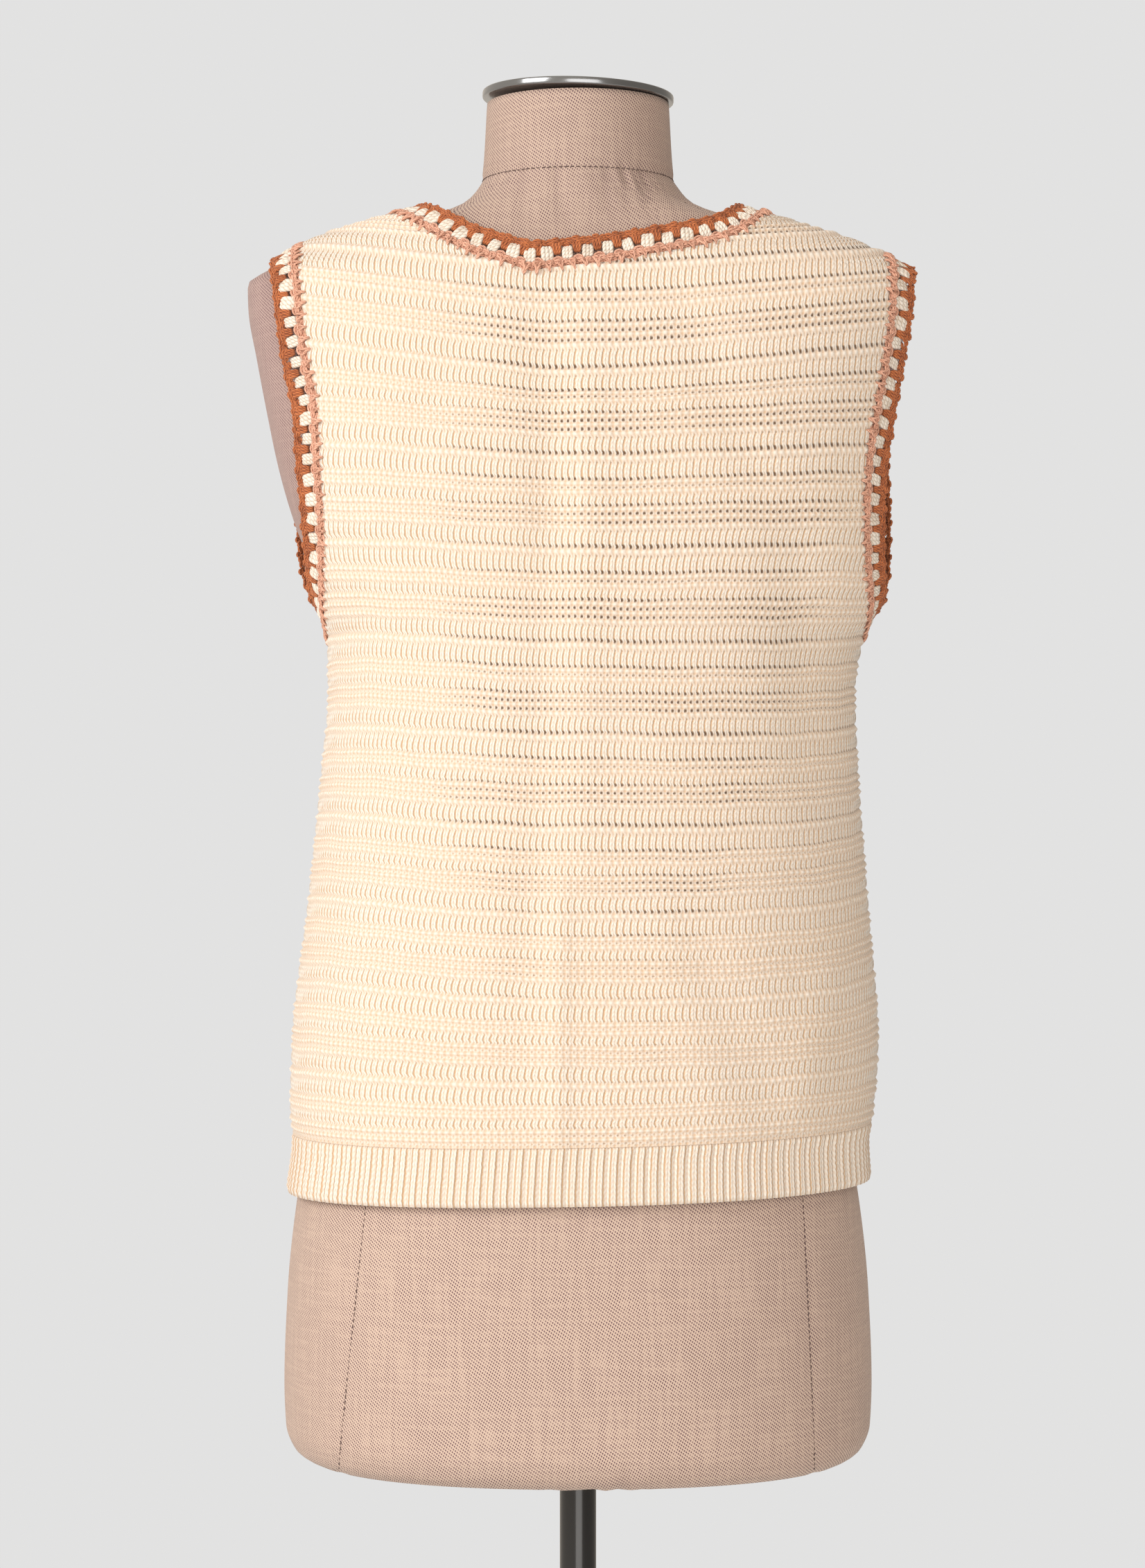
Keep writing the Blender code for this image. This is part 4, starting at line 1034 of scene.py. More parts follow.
class StitchTree:
    """Geometry nodes that set one stitch on every station of a row."""

    inputs = (
        ("Stitch", "NodeSocketObject"),
        ("Material", "NodeSocketMaterial"),
        ("Size", "NodeSocketFloat"),
        ("Size change", "NodeSocketFloat"),
        ("Turn", "NodeSocketFloat"),
        ("Seed", "NodeSocketInt"),
    )

    def __init__(self) -> None:
        """Builds the tree once."""
        self.tree = bpy.data.node_groups.new("stitch_row", "GeometryNodeTree")
        interface = self.tree.interface
        interface.new_socket("Geometry", in_out="INPUT", socket_type="NodeSocketGeometry")
        self.names = {
            name: interface.new_socket(name, in_out="INPUT", socket_type=kind).identifier
            for name, kind in self.inputs
        }
        interface.new_socket("Geometry", in_out="OUTPUT", socket_type="NodeSocketGeometry")
        nodes = Nodes(self.tree)
        given, result = nodes.add("NodeGroupInput").outputs, nodes.add("NodeGroupOutput")
        out, off = (nodes.fed("GeometryNodeInputNamedAttribute", {"Name": name}, data_type="FLOAT_VECTOR")
                    for name in ("out", "off"))
        axes = nodes.fed("FunctionNodeAxesToRotation", {0: out, 1: off}, primary_axis="Z", secondary_axis="Y")
        corners = {0: (-1.0, -1.0, -1.0), 1: (1.0, 1.0, 1.0), "Seed": given["Seed"]}
        chance = nodes.fed("FunctionNodeRandomValue", corners, data_type="FLOAT_VECTOR")
        lean = nodes.fed("ShaderNodeVectorMath", {0: chance, "Scale": given["Turn"]}, operation="SCALE")
        turn = nodes.fed("FunctionNodeRotateRotation", {0: axes, 1: lean}, rotation_space="LOCAL")
        spread = nodes.add("FunctionNodeRandomValue", data_type="FLOAT")
        for name, value in ((2, -1.0), (3, 1.0), ("Seed", nodes.plus(given["Seed"], 7.0))):
            nodes.put(spread.inputs[name], value)
        change = nodes.maths("MULTIPLY_ADD", spread.outputs[1], given["Size change"], 1.0)
        info = nodes.add("GeometryNodeObjectInfo", transform_space="ORIGINAL")
        nodes.put(info.inputs["Object"], given["Stitch"])
        row = nodes.fed("GeometryNodeInstanceOnPoints", {
            "Points": given["Geometry"],
            "Instance": info.outputs["Geometry"],
            "Rotation": turn,
            "Scale": nodes.times(change, given["Size"]),
        })
        real = nodes.fed("GeometryNodeRealizeInstances", {0: row})
        dress = nodes.fed("GeometryNodeSetMaterial", {"Geometry": real, "Material": given["Material"]})
        nodes.put(result.inputs[0], dress)

    def sew(self, name: str, stations: "Stations", stitch: Object, material: Material,
            size_change: float, turn: float, seed: int) -> Object:
        """Sets a stitch on each station and gives the row as a plain mesh.

        Args:
            name: the row's name.
            stations: where the stitches go.
            stitch: one stitch, about its own origin.
            material: the yarn's finish.
            size_change: how much the stitches differ in size.
            turn: how far each may turn, in radians.
            seed: the seed of both.

        Returns:
            The row, in the scene.
        """
        data = bpy.data.meshes.new(name)
        data.from_pydata(stations.points, [], [])
        store(data, "out", stations.out)
        store(data, "off", stations.off)
        row = placed(name, data)
        modifier = row.modifiers.new("stitches", "NODES")
        modifier.node_group = self.tree
        values = (stitch, material, 1.0, size_change, turn, seed)
        for (word, _), value in zip(self.inputs, values):
            modifier[self.names[word]] = value
        evaluated = row.evaluated_get(bpy.context.evaluated_depsgraph_get())
        plain = bpy.data.meshes.new_from_object(evaluated)
        row.modifiers.clear()
        row.data = plain
        plain.name = name
        bpy.data.meshes.remove(data)
        return row


@dataclass
class Stations:
    """Places along an edge or a seam, with the directions out of the cloth and off the edge."""

    points: Array
    out: Array
    off: Array

    def moved(self, off: Array, out: Array) -> "Stations":
        """The same stations moved in their own directions."""
        return Stations(self.points + self.off * off[:, None] + self.out * out[:, None], self.out, self.off)


class EdgePath:
    """A panel's edge as a line of points that knows which way is off the edge."""

    smoothing = 0.008

    def __init__(self, entries: list[tuple[float, float, Face]], centre: Sequence[float], closed: bool) -> None:
        """Works out the line.

        Args:
            entries: course, angle and face of each point along the edge.
            centre: a point in the open side.
            closed: whether the line ends where it starts.
        """
        self.points = np.array([CLOTH.point(s, a, face) for s, a, face in entries])
        self.normals = np.array([CLOTH.out(s, a, face) for s, a, face in entries])
        if closed:
            self.points = np.vstack([self.points, self.points[:1]])
            self.normals = np.vstack([self.normals, self.normals[:1]])
        self.centre = np.array(centre)
        self.closed = closed
        self.length = lengths_along(self.points)

    def pick(self, values: Array, along: Array) -> Array:
        """Values at distances along the line."""
        total = self.length[-1]
        along = along % total if self.closed else np.clip(along, 0.0, total)
        return np.stack([np.interp(along, self.length, values[:, k]) for k in range(3)], -1)

    def stations(self, along: Array) -> Stations:
        """Stations at distances along the line."""
        step = self.smoothing
        out = unit(sum(self.pick(self.normals, along + shift) for shift in (-step, 0.0, step)))
        points = self.pick(self.points, along)
        tangent = self.pick(self.points, along + step) - self.pick(self.points, along - step)
        off = unit(np.cross(tangent, out))
        away = np.sum(off * (self.centre - points), axis=1, keepdims=True) < 0
        return Stations(points, out, np.where(away, -off, off))


def tube(path: Array, radii: Array, sides: int, flat: float = 1.0) -> tuple[Array, Array, list[tuple[int, ...]]]:
    """A strand of yarn round a path, with closed ends.

    Args:
        path: the strand's middle points, in metres.
        radii: its radius at each point.
        sides: faces round it.
        flat: its thickness over its width.

    Returns:
        Its points, the place along and round it of each, and its faces.
    """
    count = len(path)
    tangent = unit(np.gradient(path, axis=0))
    side = np.cross(tangent, Z_AXIS)
    side /= np.maximum(np.linalg.norm(side, axis=1, keepdims=True), 1e-6)
    top = np.cross(side, tangent)
    turns = np.linspace(0, TURN, sides, endpoint=False)
    ring = np.cos(turns)[None, :, None] * side[:, None] + flat * np.sin(turns)[None, :, None] * top[:, None]
    points = path[:, None] + ring * np.asarray(radii)[:, None, None]
    values = np.stack([np.repeat(lengths_along(path), sides), np.tile(turns / TURN, count)], -1)
    faces: list[tuple[int, ...]] = []
    for k in range(count - 1):
        for s in range(sides):
            t = (s + 1) % sides
            faces.append((k * sides + s, k * sides + t, (k + 1) * sides + t, (k + 1) * sides + s))
    faces.append(tuple(reversed(range(sides))))
    faces.append(tuple((count - 1) * sides + s for s in range(sides)))
    return points.reshape(-1, 3), values, faces


def yarn_piece(name: str, strands: list[Strand]) -> Object:
    """One stitch made of several strands, with their ply places as an attribute."""
    points, values, faces, count = [], [], [], 0
    for path, radii, sides, flat in strands:
        p, v, f = tube(np.asarray(path, float) * MM, np.asarray(radii, float) * MM, sides, flat)
        points.append(p)
        values.append(v)
        faces += [tuple(i + count for i in face) for face in f]
        count += len(p)
    data = bpy.data.meshes.new(name)
    data.from_pydata(np.concatenate(points), [], faces)
    store(data, "stitch", np.c_[np.concatenate(values), np.zeros(count)])
    close_up(data)
    return placed(name, data)


def bent(points: Sequence[Sequence[float]], steps: int) -> Array:
    """A smooth line through a few points, in mm."""
    given = np.array(points, float)
    share = shares_along(given)
    fine = np.linspace(0, 1, steps)
    tables = (Table(("t", "v"), tuple(zip(share, given[:, k]))) for k in range(3))
    return np.stack([table.read("v", fine) for table in tables], -1)


def swelling(count: int, thick: float, ends: float) -> Array:
    """Radii of a strand that narrows at both ends."""
    t = np.linspace(-1, 1, count)
    return ends + (thick - ends) * np.sqrt(np.clip(1 - t**4, 0, 1))


def strand(points: Sequence[Sequence[float]], steps: int, thick: float, ends: float,
           sides: int = 5, flat: float = 1.0) -> Strand:
    """A strand of yarn through a few points, in mm, that narrows at both ends."""
    return bent(points, steps), swelling(steps, thick, ends), sides, flat


@dataclass
class ClothPart:
    """A part of the garment's cloth, on the back or on one side of the front."""

    face: Face
    side: Side | None = None

    @property
    def where(self) -> str:
        """The first words of the part's names."""
        return "back" if self.side is None else f"front_{self.side.value}"


@dataclass
class KnitPanel(ClothPart):
    """One knitted panel: loops on a lattice of wales and courses, over a plain inside."""

    wales: int = 60
    inner_step: int = 6
    spread: float = 0.07
    spread_over: float = 0.08
    edge_clear: float = 0.4

    def girth(self, label: float) -> tuple[Array, Array]:
        """Angles across the panel's face, and their distances from the centre line on a course."""
        angles = np.linspace(0.0, math.pi, FINE)
        length = lengths_along(CLOTH.point(label, angles, self.face))
        return angles, length - np.interp(math.pi / 2, angles, length)

    def lattice(self, label: float) -> tuple[Array, Array]:
        """The angle of each half wale on a course, and its number from the centre line.

        Args:
            label: the course's height at the seams.

        Returns:
            The angles and the numbers, both growing with the angle.
        """
        angles, length = self.girth(label)
        ends = [abs(length[end]) if label < CUT.underarm_z else self.reach(end, label) for end in (0, -1)]
        numbers = np.arange(-2 * self.wales, 2 * self.wales + 1)
        pitch = np.where(numbers < 0, ends[0], ends[1]) / (2 * self.wales)
        inside = (numbers * pitch > length[0]) & (numbers * pitch < length[-1])
        return np.interp((numbers * pitch)[inside], length, angles), numbers[inside] / 2

    def reach(self, end: int, label: float) -> float:
        """The width of one side's wales above the underarm."""
        _, length = self.girth(CUT.underarm_z)
        share = grown(label, CUT.underarm_z, self.spread_over)
        return float(abs(length[end]) * (1 + self.spread * share * share * (3 - 2 * share)))

    def line(self, course: Course, first: float, last: float, step: int, depth: float,
             also: Sequence[float] = ()) -> tuple[Array, Array, Array]:
        """One row between two angles.

        Args:
            course: which row.
            first: the smaller angle.
            last: the larger angle.
            step: how many half wales lie between two points.
            depth: how far the row lies under the cloth's outer face.
            also: angles that the row must have a point at.

        Returns:
            Its angles, points and pattern values.
        """
        angles, numbers = self.lattice(course.label)
        pitch = np.interp(np.arange(len(angles)), np.arange(len(angles) - 1) + 0.5, np.diff(angles))
        fixed = [first, last, *also]
        clear = np.min(np.abs(angles[:, None] - np.array(fixed)), axis=1) > self.edge_clear * pitch * step
        kept = (angles > first) & (angles < last) & clear & ((2 * numbers) % step == 0)
        every = np.concatenate([angles[kept], fixed])
        count = np.concatenate([numbers[kept], np.interp(fixed, angles, numbers)])
        order = np.argsort(every)
        every, count = every[order], count[order]
        label = course.label + self.wobble(course.label, every, first, last)
        points = CLOTH.point(label, every, self.face)
        out = CLOTH.out(label, every, self.face)
        lift = CLOTH.creased(points, self.face) - depth
        count = count + course.slant
        if depth == 0.0:
            uneven = np.random.default_rng(round(1e5 * course.label)).normal(0.0, 1.0, len(count))
            lift = lift + course.rise * (1 + 0.10 * uneven) + course.wale * np.cos(TURN * count)
            lift = lift + 0.00006 * uneven
        values = np.stack([count, np.full_like(count, course.number),
                           np.full_like(count, course.purl), course.hole * self.openness(points)], -1)
        return every, points + out * lift[:, None], values

    def wobble(self, label: float, angles: Array, first: float, last: float) -> Array:
        """How far a row wanders up and down between a panel's edges, in metres."""
        inside = np.clip(8 * (angles - first), 0, 1) * np.clip(8 * (last - angles), 0, 1)
        ends = grown(label, CUT.rib_top_z, 0.03) * grown(1.43, label, 0.03)
        slow = np.sin(9.0 * angles + 43 * label) * np.cos(5.0 * angles - 61 * label + 1.7)
        quick = np.sin(23.0 * angles - 37 * label + 2.0 * np.sin(90 * label))
        return 0.0005 * (0.75 * slow + 0.4 * quick) * inside * ends

    @staticmethod
    def openness(points: Array) -> Array:
        """How strongly the holes show, in their relief dip and their painted shade: in patches, stronger towards +X,
        and less low down and near the armholes.
        """
        x, z = points[..., 0] / MM, points[..., 2] / MM
        patches = 0.5 + 0.5 * np.sin(x / 21 + 1.6 * np.sin(z / 37)) * np.cos(z / 29 + x / 53)
        side = np.clip(0.5 + x / 240, 0.25, 1.0)
        low = grown(z, 960, 160, 0.45)
        right = grown(110 + 0.3 * (z - 1050), x, 50, 0.4)
        left = grown(x, -110, 70, 0.3)
        return np.clip((0.36 + 0.50 * patches + 0.35 * side) * low * right * left, 0.1, 1.0)

    def edges(self, label: float, part: Side | None, low: float) -> tuple[float, float]:
        """The smaller and larger angle of a part of the panel on a course."""
        if self.side is not None:
            pair = (CLOTH.armhole_angle(label, self.face, self.side), CLOTH.front_edge_angle(label, self.side))
        elif part is None:
            pair = tuple(CLOTH.armhole_angle(label, self.face, side) for side in Side)
        else:
            neck = CLOTH.neck_angle(label, part) if label > low else CLOTH.notch_angle(label)
            pair = (CLOTH.armhole_angle(label, self.face, part), neck)
        return tuple(sorted(float(a) for a in pair))

    def build(self, courses: list[Course]) -> Object:
        """Makes the panel as one closed shell.

        Args:
            courses: every row, from the hem rib up.

        Returns:
            The panel.
        """
        maker = MeshMaker()
        split = len(courses) - 1
        if self.side is None:
            notch = BACK_NECK_EDGE.rows[0][0] - CUT.seam_gap
            heights = [float(CLOTH.height(c.label, CLOTH.notch_angle(c.label), self.face)) for c in courses]
            split = next(k for k, z in enumerate(heights) if z > notch)
        low = courses[split].label
        rims: dict[str, list[list[int]]] = {"outer": [], "inner": []}
        for layer, step, depth in (("outer", 1, 0.0), ("inner", self.inner_step, CUT.wall)):
            stride = 1 if layer == "outer" else self.inner_step
            below = sorted({*range(0, split, stride), split})
            top = len(courses) - 1
            above = sorted({*range(split, top, stride), top})
            parts = [(below, None)] + ([(above, side) for side in Side] if self.side is None else [])
            shared: dict[str, tuple[list[int], Array]] = {}
            for chosen, part in parts:
                left_rim, right_rim, last_row = [], [], None
                for k in chosen:
                    first, last = self.edges(courses[k].label, part, low)
                    split_row = self.side is None and k == split
                    if split_row and part is not None:
                        ids, angles = shared["split"]
                        inside = (angles >= first - 1e-7) & (angles <= last + 1e-7)
                        ids, angles = [i for i, keep in zip(ids, inside) if keep], angles[inside]
                    else:
                        also = [float(CLOTH.notch_angle(courses[k].label))] if split_row else []
                        angles, points, values = self.line(courses[k], first, last, step, depth, also)
                        ids = maker.row(points, values)
                    if split_row and part is None:
                        shared["split"] = (ids, angles)
                    if last_row is not None:
                        maker.strip(last_row[0], ids, last_row[1], angles)
                    elif part is None:
                        rims[layer].append(ids)
                    left_rim.append(ids[0])
                    right_rim.append(ids[-1])
                    last_row = (ids, angles)
                if not (self.side is None and part is None):
                    rims[layer].append(last_row[0])
                rims[layer] += [left_rim, right_rim]
        everything = np.concatenate(maker.points)
        for outer, inner in zip(rims["outer"], rims["inner"]):
            maker.strip(outer, inner, shares_along(everything[outer]), shares_along(everything[inner]))
        return maker.finish(f"{self.where}_knit", FINISH.knit)

    def cut_size(self) -> tuple[float, float, float]:
        """The flat width, length and area that the panel is cut to, in metres."""
        if self.side is None:
            return 0.505, 0.585, 0.232
        return (0.238, 0.585, 0.099) if self.side is Side.LEFT else (0.254, 0.585, 0.106)


@dataclass
class HemRib(ClothPart):
    """The ribbed hem of one panel: upright ribs of two strands with small bars between."""

    pitch: float = 0.0078
    rows: int = 20
    bar_rise: float = 0.00022
    rim_dip: float = 0.0004
    profile: tuple[tuple[float, float], ...] = (
        (0.00, 0.0), (0.10, 0.1), (0.20, 1.0), (0.32, 1.5), (0.44, 1.6),
        (0.54, 1.25), (0.64, 1.6), (0.76, 1.5), (0.88, 1.0), (0.97, 0.1),
    )

    def ends(self) -> tuple[float, float]:
        """The smaller and larger angle of the rib."""
        seam = float(CLOTH.seam_angle(CUT.hem_z, self.face))
        if self.side is None:
            return seam, math.pi - seam
        opening = float(CLOTH.angle_of(CUT.hem_z, self.side.sign * CUT.front_opening, self.face))
        return tuple(sorted((seam if self.side is Side.RIGHT else math.pi - seam, opening)))

    def build(self) -> Object:
        """Makes the rib as one closed shell.

        Returns:
            The rib.
        """
        first, last = self.ends()
        fine = np.linspace(first, last, 4 * FINE)
        girth = lengths_along(CLOTH.point(CUT.hem_z, fine, self.face))[-1]
        count = round(girth / self.pitch)
        places = np.array([k + at for k in range(count) for at, _ in self.profile] + [count]) / count
        rises = np.array([up for _ in range(count) for _, up in self.profile] + [0.0]) * MM
        inside = np.linspace(0, 1, count + 1)
        labels = np.linspace(CUT.hem_z, CUT.rib_top_z + 0.8 * CUT.rib_gap, self.rows)
        maker = MeshMaker()
        layers = []
        for depth, shares, raised in ((0.0, places, rises), (CUT.wall, inside, None)):
            rows = []
            for k, label in enumerate(labels):
                steps = lengths_along(CLOTH.point(label, fine, self.face))
                angles = np.interp(shares * steps[-1], steps, fine)
                points = CLOTH.point(label, angles, self.face)
                lift = CLOTH.creased(points, self.face) - depth
                hole = np.zeros_like(angles)
                if raised is not None:
                    edge = (0.6, 0.9, 1.0)[min(k, self.rows - 1 - k, 2)]
                    lift = lift + raised * edge + self.bar_rise * (-1) ** k * (raised > 0.5 * MM)
                    lift = lift - (self.rim_dip if k == 0 else 0.0)
                    # The low ground between the ribs counts as hole: it dips in relief and gets the knit's painted
                    # hole shade.
                    hole = np.clip(1 - raised / 0.0009, 0, 1)
                points = points + CLOTH.out(label, angles, self.face) * lift[:, None]
                wale, course = shares * count * 2, np.full_like(angles, k * 0.55)
                rows.append(maker.row(points, np.stack([wale, course, 0 * angles, hole * 0.55], -1)))
            layers.append(rows)
        maker.shell(*layers, places, inside)
        return maker.finish(f"{self.where}_hem", FINISH.knit)

    def flat(self) -> tuple[float, float]:
        """The flat width and height of the rib, in metres."""
        return (0.508, 0.036) if self.side is None else (0.238, 0.036)


class StitchKit:
    """The crochet stitches, each a few strands about its own origin, in mm.

    X runs along the edge, Y off it and Z out of the cloth.
    """

    def __init__(self) -> None:
        """Makes one of each."""
        self.post = yarn_piece("stitch_post", [
            strand([(0.55 * x - 0.4, -5.4, -1.3), (0.95 * x - 0.2, -3.2, 0.0), (x, 0.0, 0.45),
                    (0.95 * x + 0.2, 3.2, 0.0), (0.55 * x + 0.4, 5.2, -1.3)], 11, 1.42, 0.75, 8, 0.95)
            for x in (-2.35, 0.0, 2.35)
        ])
        self.cluster = yarn_piece("stitch_cluster", [
            strand([(0.85 * x, 3.9, -0.2), (1.05 * x, 2.0, 0.55), (0.98 * x, -1.0, 0.45), (0.55 * x, -3.9, -0.7)],
                   9, 1.0, 0.55, 6)
            for x in (-1.75, 0.0, 1.75)
        ])
        self.chain = yarn_piece("stitch_chain", [
            strand([(-2.5, -0.2, -0.2), (-1.2, 0.85, 0.6), (0.9, 0.75, 0.9), (2.4, 0.0, -0.3)], 6, 0.84, 0.3),
            strand([(-2.5, 0.2, -0.4), (-1.0, -0.8, 0.3), (0.9, -0.85, 0.7), (2.4, 0.0, 0.0)], 6, 0.84, 0.3),
        ])
        self.fork = yarn_piece("stitch_fork", [
            strand([(-2.0, 3.6, 0.0), (-1.3, 1.6, 0.8), (-0.3, -0.8, 0.9), (0.0, -3.4, -0.3)], 8, 0.74, 0.3),
            strand([(2.0, 3.6, 0.0), (1.4, 1.6, 0.7), (0.5, -0.8, 0.9), (0.1, -3.4, -0.3)], 8, 0.74, 0.3),
        ])
        self.arch = yarn_piece("stitch_arch", [
            strand([(-3.4, -2.2, -0.4), (-2.4, 0.4, 0.4), (0.0, 1.4, 0.7), (2.4, 0.4, 0.4), (3.4, -2.2, -0.4)],
                   11, 0.8, 0.45),
            strand([(-3.0, -3.0, -0.5), (-1.8, -1.0, 0.2), (0.0, 0.0, 0.4), (1.8, -1.0, 0.2), (3.0, -3.0, -0.5)],
                   11, 0.7, 0.45),
        ])
        self.dash = yarn_piece("stitch_dash", [
            strand([(-1.15, 0.0, -0.15), (-0.5, 0.0, 0.28), (0.5, 0.0, 0.28), (1.15, 0.0, -0.15)],
                   6, 0.3, 0.16, flat=0.8),
        ])

    def clear(self) -> None:
        """Takes the single stitches out of the scene once the rows are sewn."""
        for stitch in (self.post, self.cluster, self.chain, self.fork, self.arch, self.dash):
            bpy.data.objects.remove(stitch, do_unlink=True)


@dataclass
class CrochetTrim:
    """A crochet edging along part of an edge, in three colours of yarn."""

    name: str
    path: EdgePath
    start: float
    stop: float
    seed: int
    edge_row: float = 0.0174
    cluster_row: float = 0.0130
    post_row: float = 0.0093
    arch_row: float = 0.0054
    fork_row: float = 0.0006
    chain_pitch: float = 0.0045
    low_chain_row: float = 0.0012
    sink: float = 0.0012

    @property
    def posts(self) -> int:
        """How many posts the trim has."""
        return max(2, round((self.stop - self.start) / CUT.trim_pitch))

    def row(self, count: int, off: float, out: float, shift: float = 0.5, wave: float = 0.0) -> Stations:
        """Evenly spaced stations along the trim.

        Args:
            count: how many.
            off: their distance off the cloth's edge.
            out: how far they stand out.
            shift: where the first lies, in spaces.
            wave: how far the row swells between the posts and sinks at them.

        Returns:
            The stations.
        """
        pitch = (self.stop - self.start) / count
        along = self.start + (np.arange(count) + shift) * pitch
        along = along[along < self.stop]
        swell = wave * np.cos(TURN * self.posts * (along - self.start) / (self.stop - self.start))
        return self.path.stations(along).moved(off + 0.5 * swell, out + swell)

    def build(self, tree: StitchTree, kit: StitchKit) -> list[Object]:
        """Sews the rows of the trim.

        Args:
            tree: the stitch tree.
            kit: the stitches.

        Returns:
            The cream, rust and pink pieces.
        """
        posts, sink = self.posts, -self.sink
        edge, links = 3 * posts, round((self.stop - self.start) / self.chain_pitch)
        yarns = {"cream": FINISH.cream_yarn, "rust": FINISH.rust_yarn, "pink": FINISH.pink_yarn}
        # colour, stitch, stations, change of size, turn and what is added to the trim's seed
        rows = (
            ("cream", kit.post, self.row(posts, self.post_row, sink), 0.14, 0.21, 0),
            ("rust", kit.cluster, self.row(posts, self.cluster_row, sink, 0.0), 0.06, 0.07, 1),
            ("rust", kit.chain, self.row(edge, self.edge_row, sink, 0.0, 0.0006), 0.12, 0.26, 2),
            ("rust", kit.chain, self.row(edge, self.edge_row - 0.0021, sink - 0.0004, 0.5, 0.0007), 0.15, 0.4, 6),
            ("pink", kit.arch, self.row(posts, self.arch_row, sink, 0.0), 0.08, 0.14, 3),
            ("pink", kit.fork, self.row(round(1.7 * posts), self.fork_row, 0.0004), 0.28, 0.25, 4),
            ("pink", kit.chain, self.row(links, self.arch_row - 0.0022, 0.0, 0.2), 0.1, 0.2, 5),
            ("pink", kit.chain, self.row(links, self.low_chain_row, sink, 0.6), 0.15, 0.3, 7),
        )
        made: dict[str, list[Object]] = {colour: [] for colour in yarns}
        for colour, stitch, stations, change, turn, number in rows:
            made[colour].append(tree.sew(
                f"{self.name}_{colour}", stations, stitch, yarns[colour], change, turn, self.seed + number))
        return [joined(pieces) for pieces in made.values()]


def joined(pieces: list[Object]) -> Object:
    """Joins meshes into the first of them and removes the others."""
    if len(pieces) == 1:
        return pieces[0]
    mesh = bmesh.new()
    for piece in pieces:
        mesh.from_mesh(piece.data)
    mesh.to_mesh(pieces[0].data)
    mesh.free()
    for piece in pieces[1:]:
        bpy.data.objects.remove(piece, do_unlink=True)
    return pieces[0]


@dataclass
class ButtonBand:
    """A ribbed button band down the front opening."""

    side: Side
    first_x: float
    last_x: float
    low: float
    high: float
    top_drop: float = 0.002
    rows: int = 150
    ribs: int = 7
    rib_rise: float = 0.0007
    bar_rise: float = 0.00012

    def build(self) -> Object:
        """Makes the band as one closed shell."""
        labels = np.linspace(CUT.hem_z, CUT.vee_z - self.top_drop, self.rows)
        columns = 6 * self.ribs + 1
        share = np.linspace(0, 1, columns)
        rib = np.where((share > 0) & (share < 1), 0.5 - 0.5 * np.cos(TURN * self.ribs * share), 0.0)
        maker = MeshMaker()
        layers = []
        for lift in (self.high, self.low):
            rows = []
            seen = lift == self.high
            for k, label in enumerate(labels):
                ends = [float(CLOTH.angle_of(label, x, Face.FRONT)) for x in (self.first_x, self.last_x)]
                angles = np.linspace(*ends, columns)
                up = lift - self.rib_rise * (1 - rib) * seen + self.bar_rise * (-1) ** k * seen * rib
                points = CLOTH.point(label, angles, Face.FRONT)
                points = points + CLOTH.out(label, angles, Face.FRONT) * up[:, None]
                wale, course = share * self.ribs * 2, np.full(columns, k * 0.7)
                # Between the ribs the hole value dips the relief and paints the knit's hole shade.
                rows.append(maker.row(points, np.stack([wale, course, 0 * share, 0.5 * (1 - rib)], -1)))
            layers.append(rows)
        maker.shell(*layers, share, share)
        return maker.finish(f"button_band_{self.side.value}_knit", FINISH.knit)


@dataclass
class Lathe:
    """A round piece turned about an axis, from (radius, height) rows in metres."""

    name: str
    profile: Sequence[tuple[float, float]]
    sides: int = 96

    def build(self, material: Material, centre: Sequence[float] = (0.0, 0.0, 0.0),
              axis: Array = Z_AXIS, side: Array = X_AXIS) -> Object:
        """Makes the piece.

        Args:
            material: its finish.
            centre: where its own origin lies.
            axis: the direction that its heights grow in.
            side: a direction across the axis.

        Returns:
            The piece.
        """
        turns = np.linspace(0, TURN, self.sides + 1)
        ring = np.cos(turns)[:, None] * side + np.sin(turns)[:, None] * np.cross(axis, side)
        maker = MeshMaker()
        rows = []
        for radius, rise in self.profile:
            points = np.array(centre) + ring * radius + axis * rise
            values = np.stack([turns / TURN, np.full_like(turns, rise), 0 * turns, 0 * turns], -1)
            rows.append(maker.row(points, values))
        maker.grid(rows)
        made = maker.finish(self.name, material, merge=1e-6)
        made.data.set_sharp_from_angle(angle=math.radians(40))
        return made


def rounded(radius: float, low: float, high: float, edge: float, steps: int = 4) -> list[tuple[float, float]]:
    """The profile of a disc with rounded rims, closed on its axis."""
    turns = np.linspace(0, math.pi / 2, steps)
    lower = [(radius - edge + edge * math.sin(t), low + edge - edge * math.cos(t)) for t in turns]
    upper = [(radius - edge + edge * math.cos(t), high - edge + edge * math.sin(t)) for t in turns]
    return [(0.0, low), *lower, *upper, (0.0, high)]


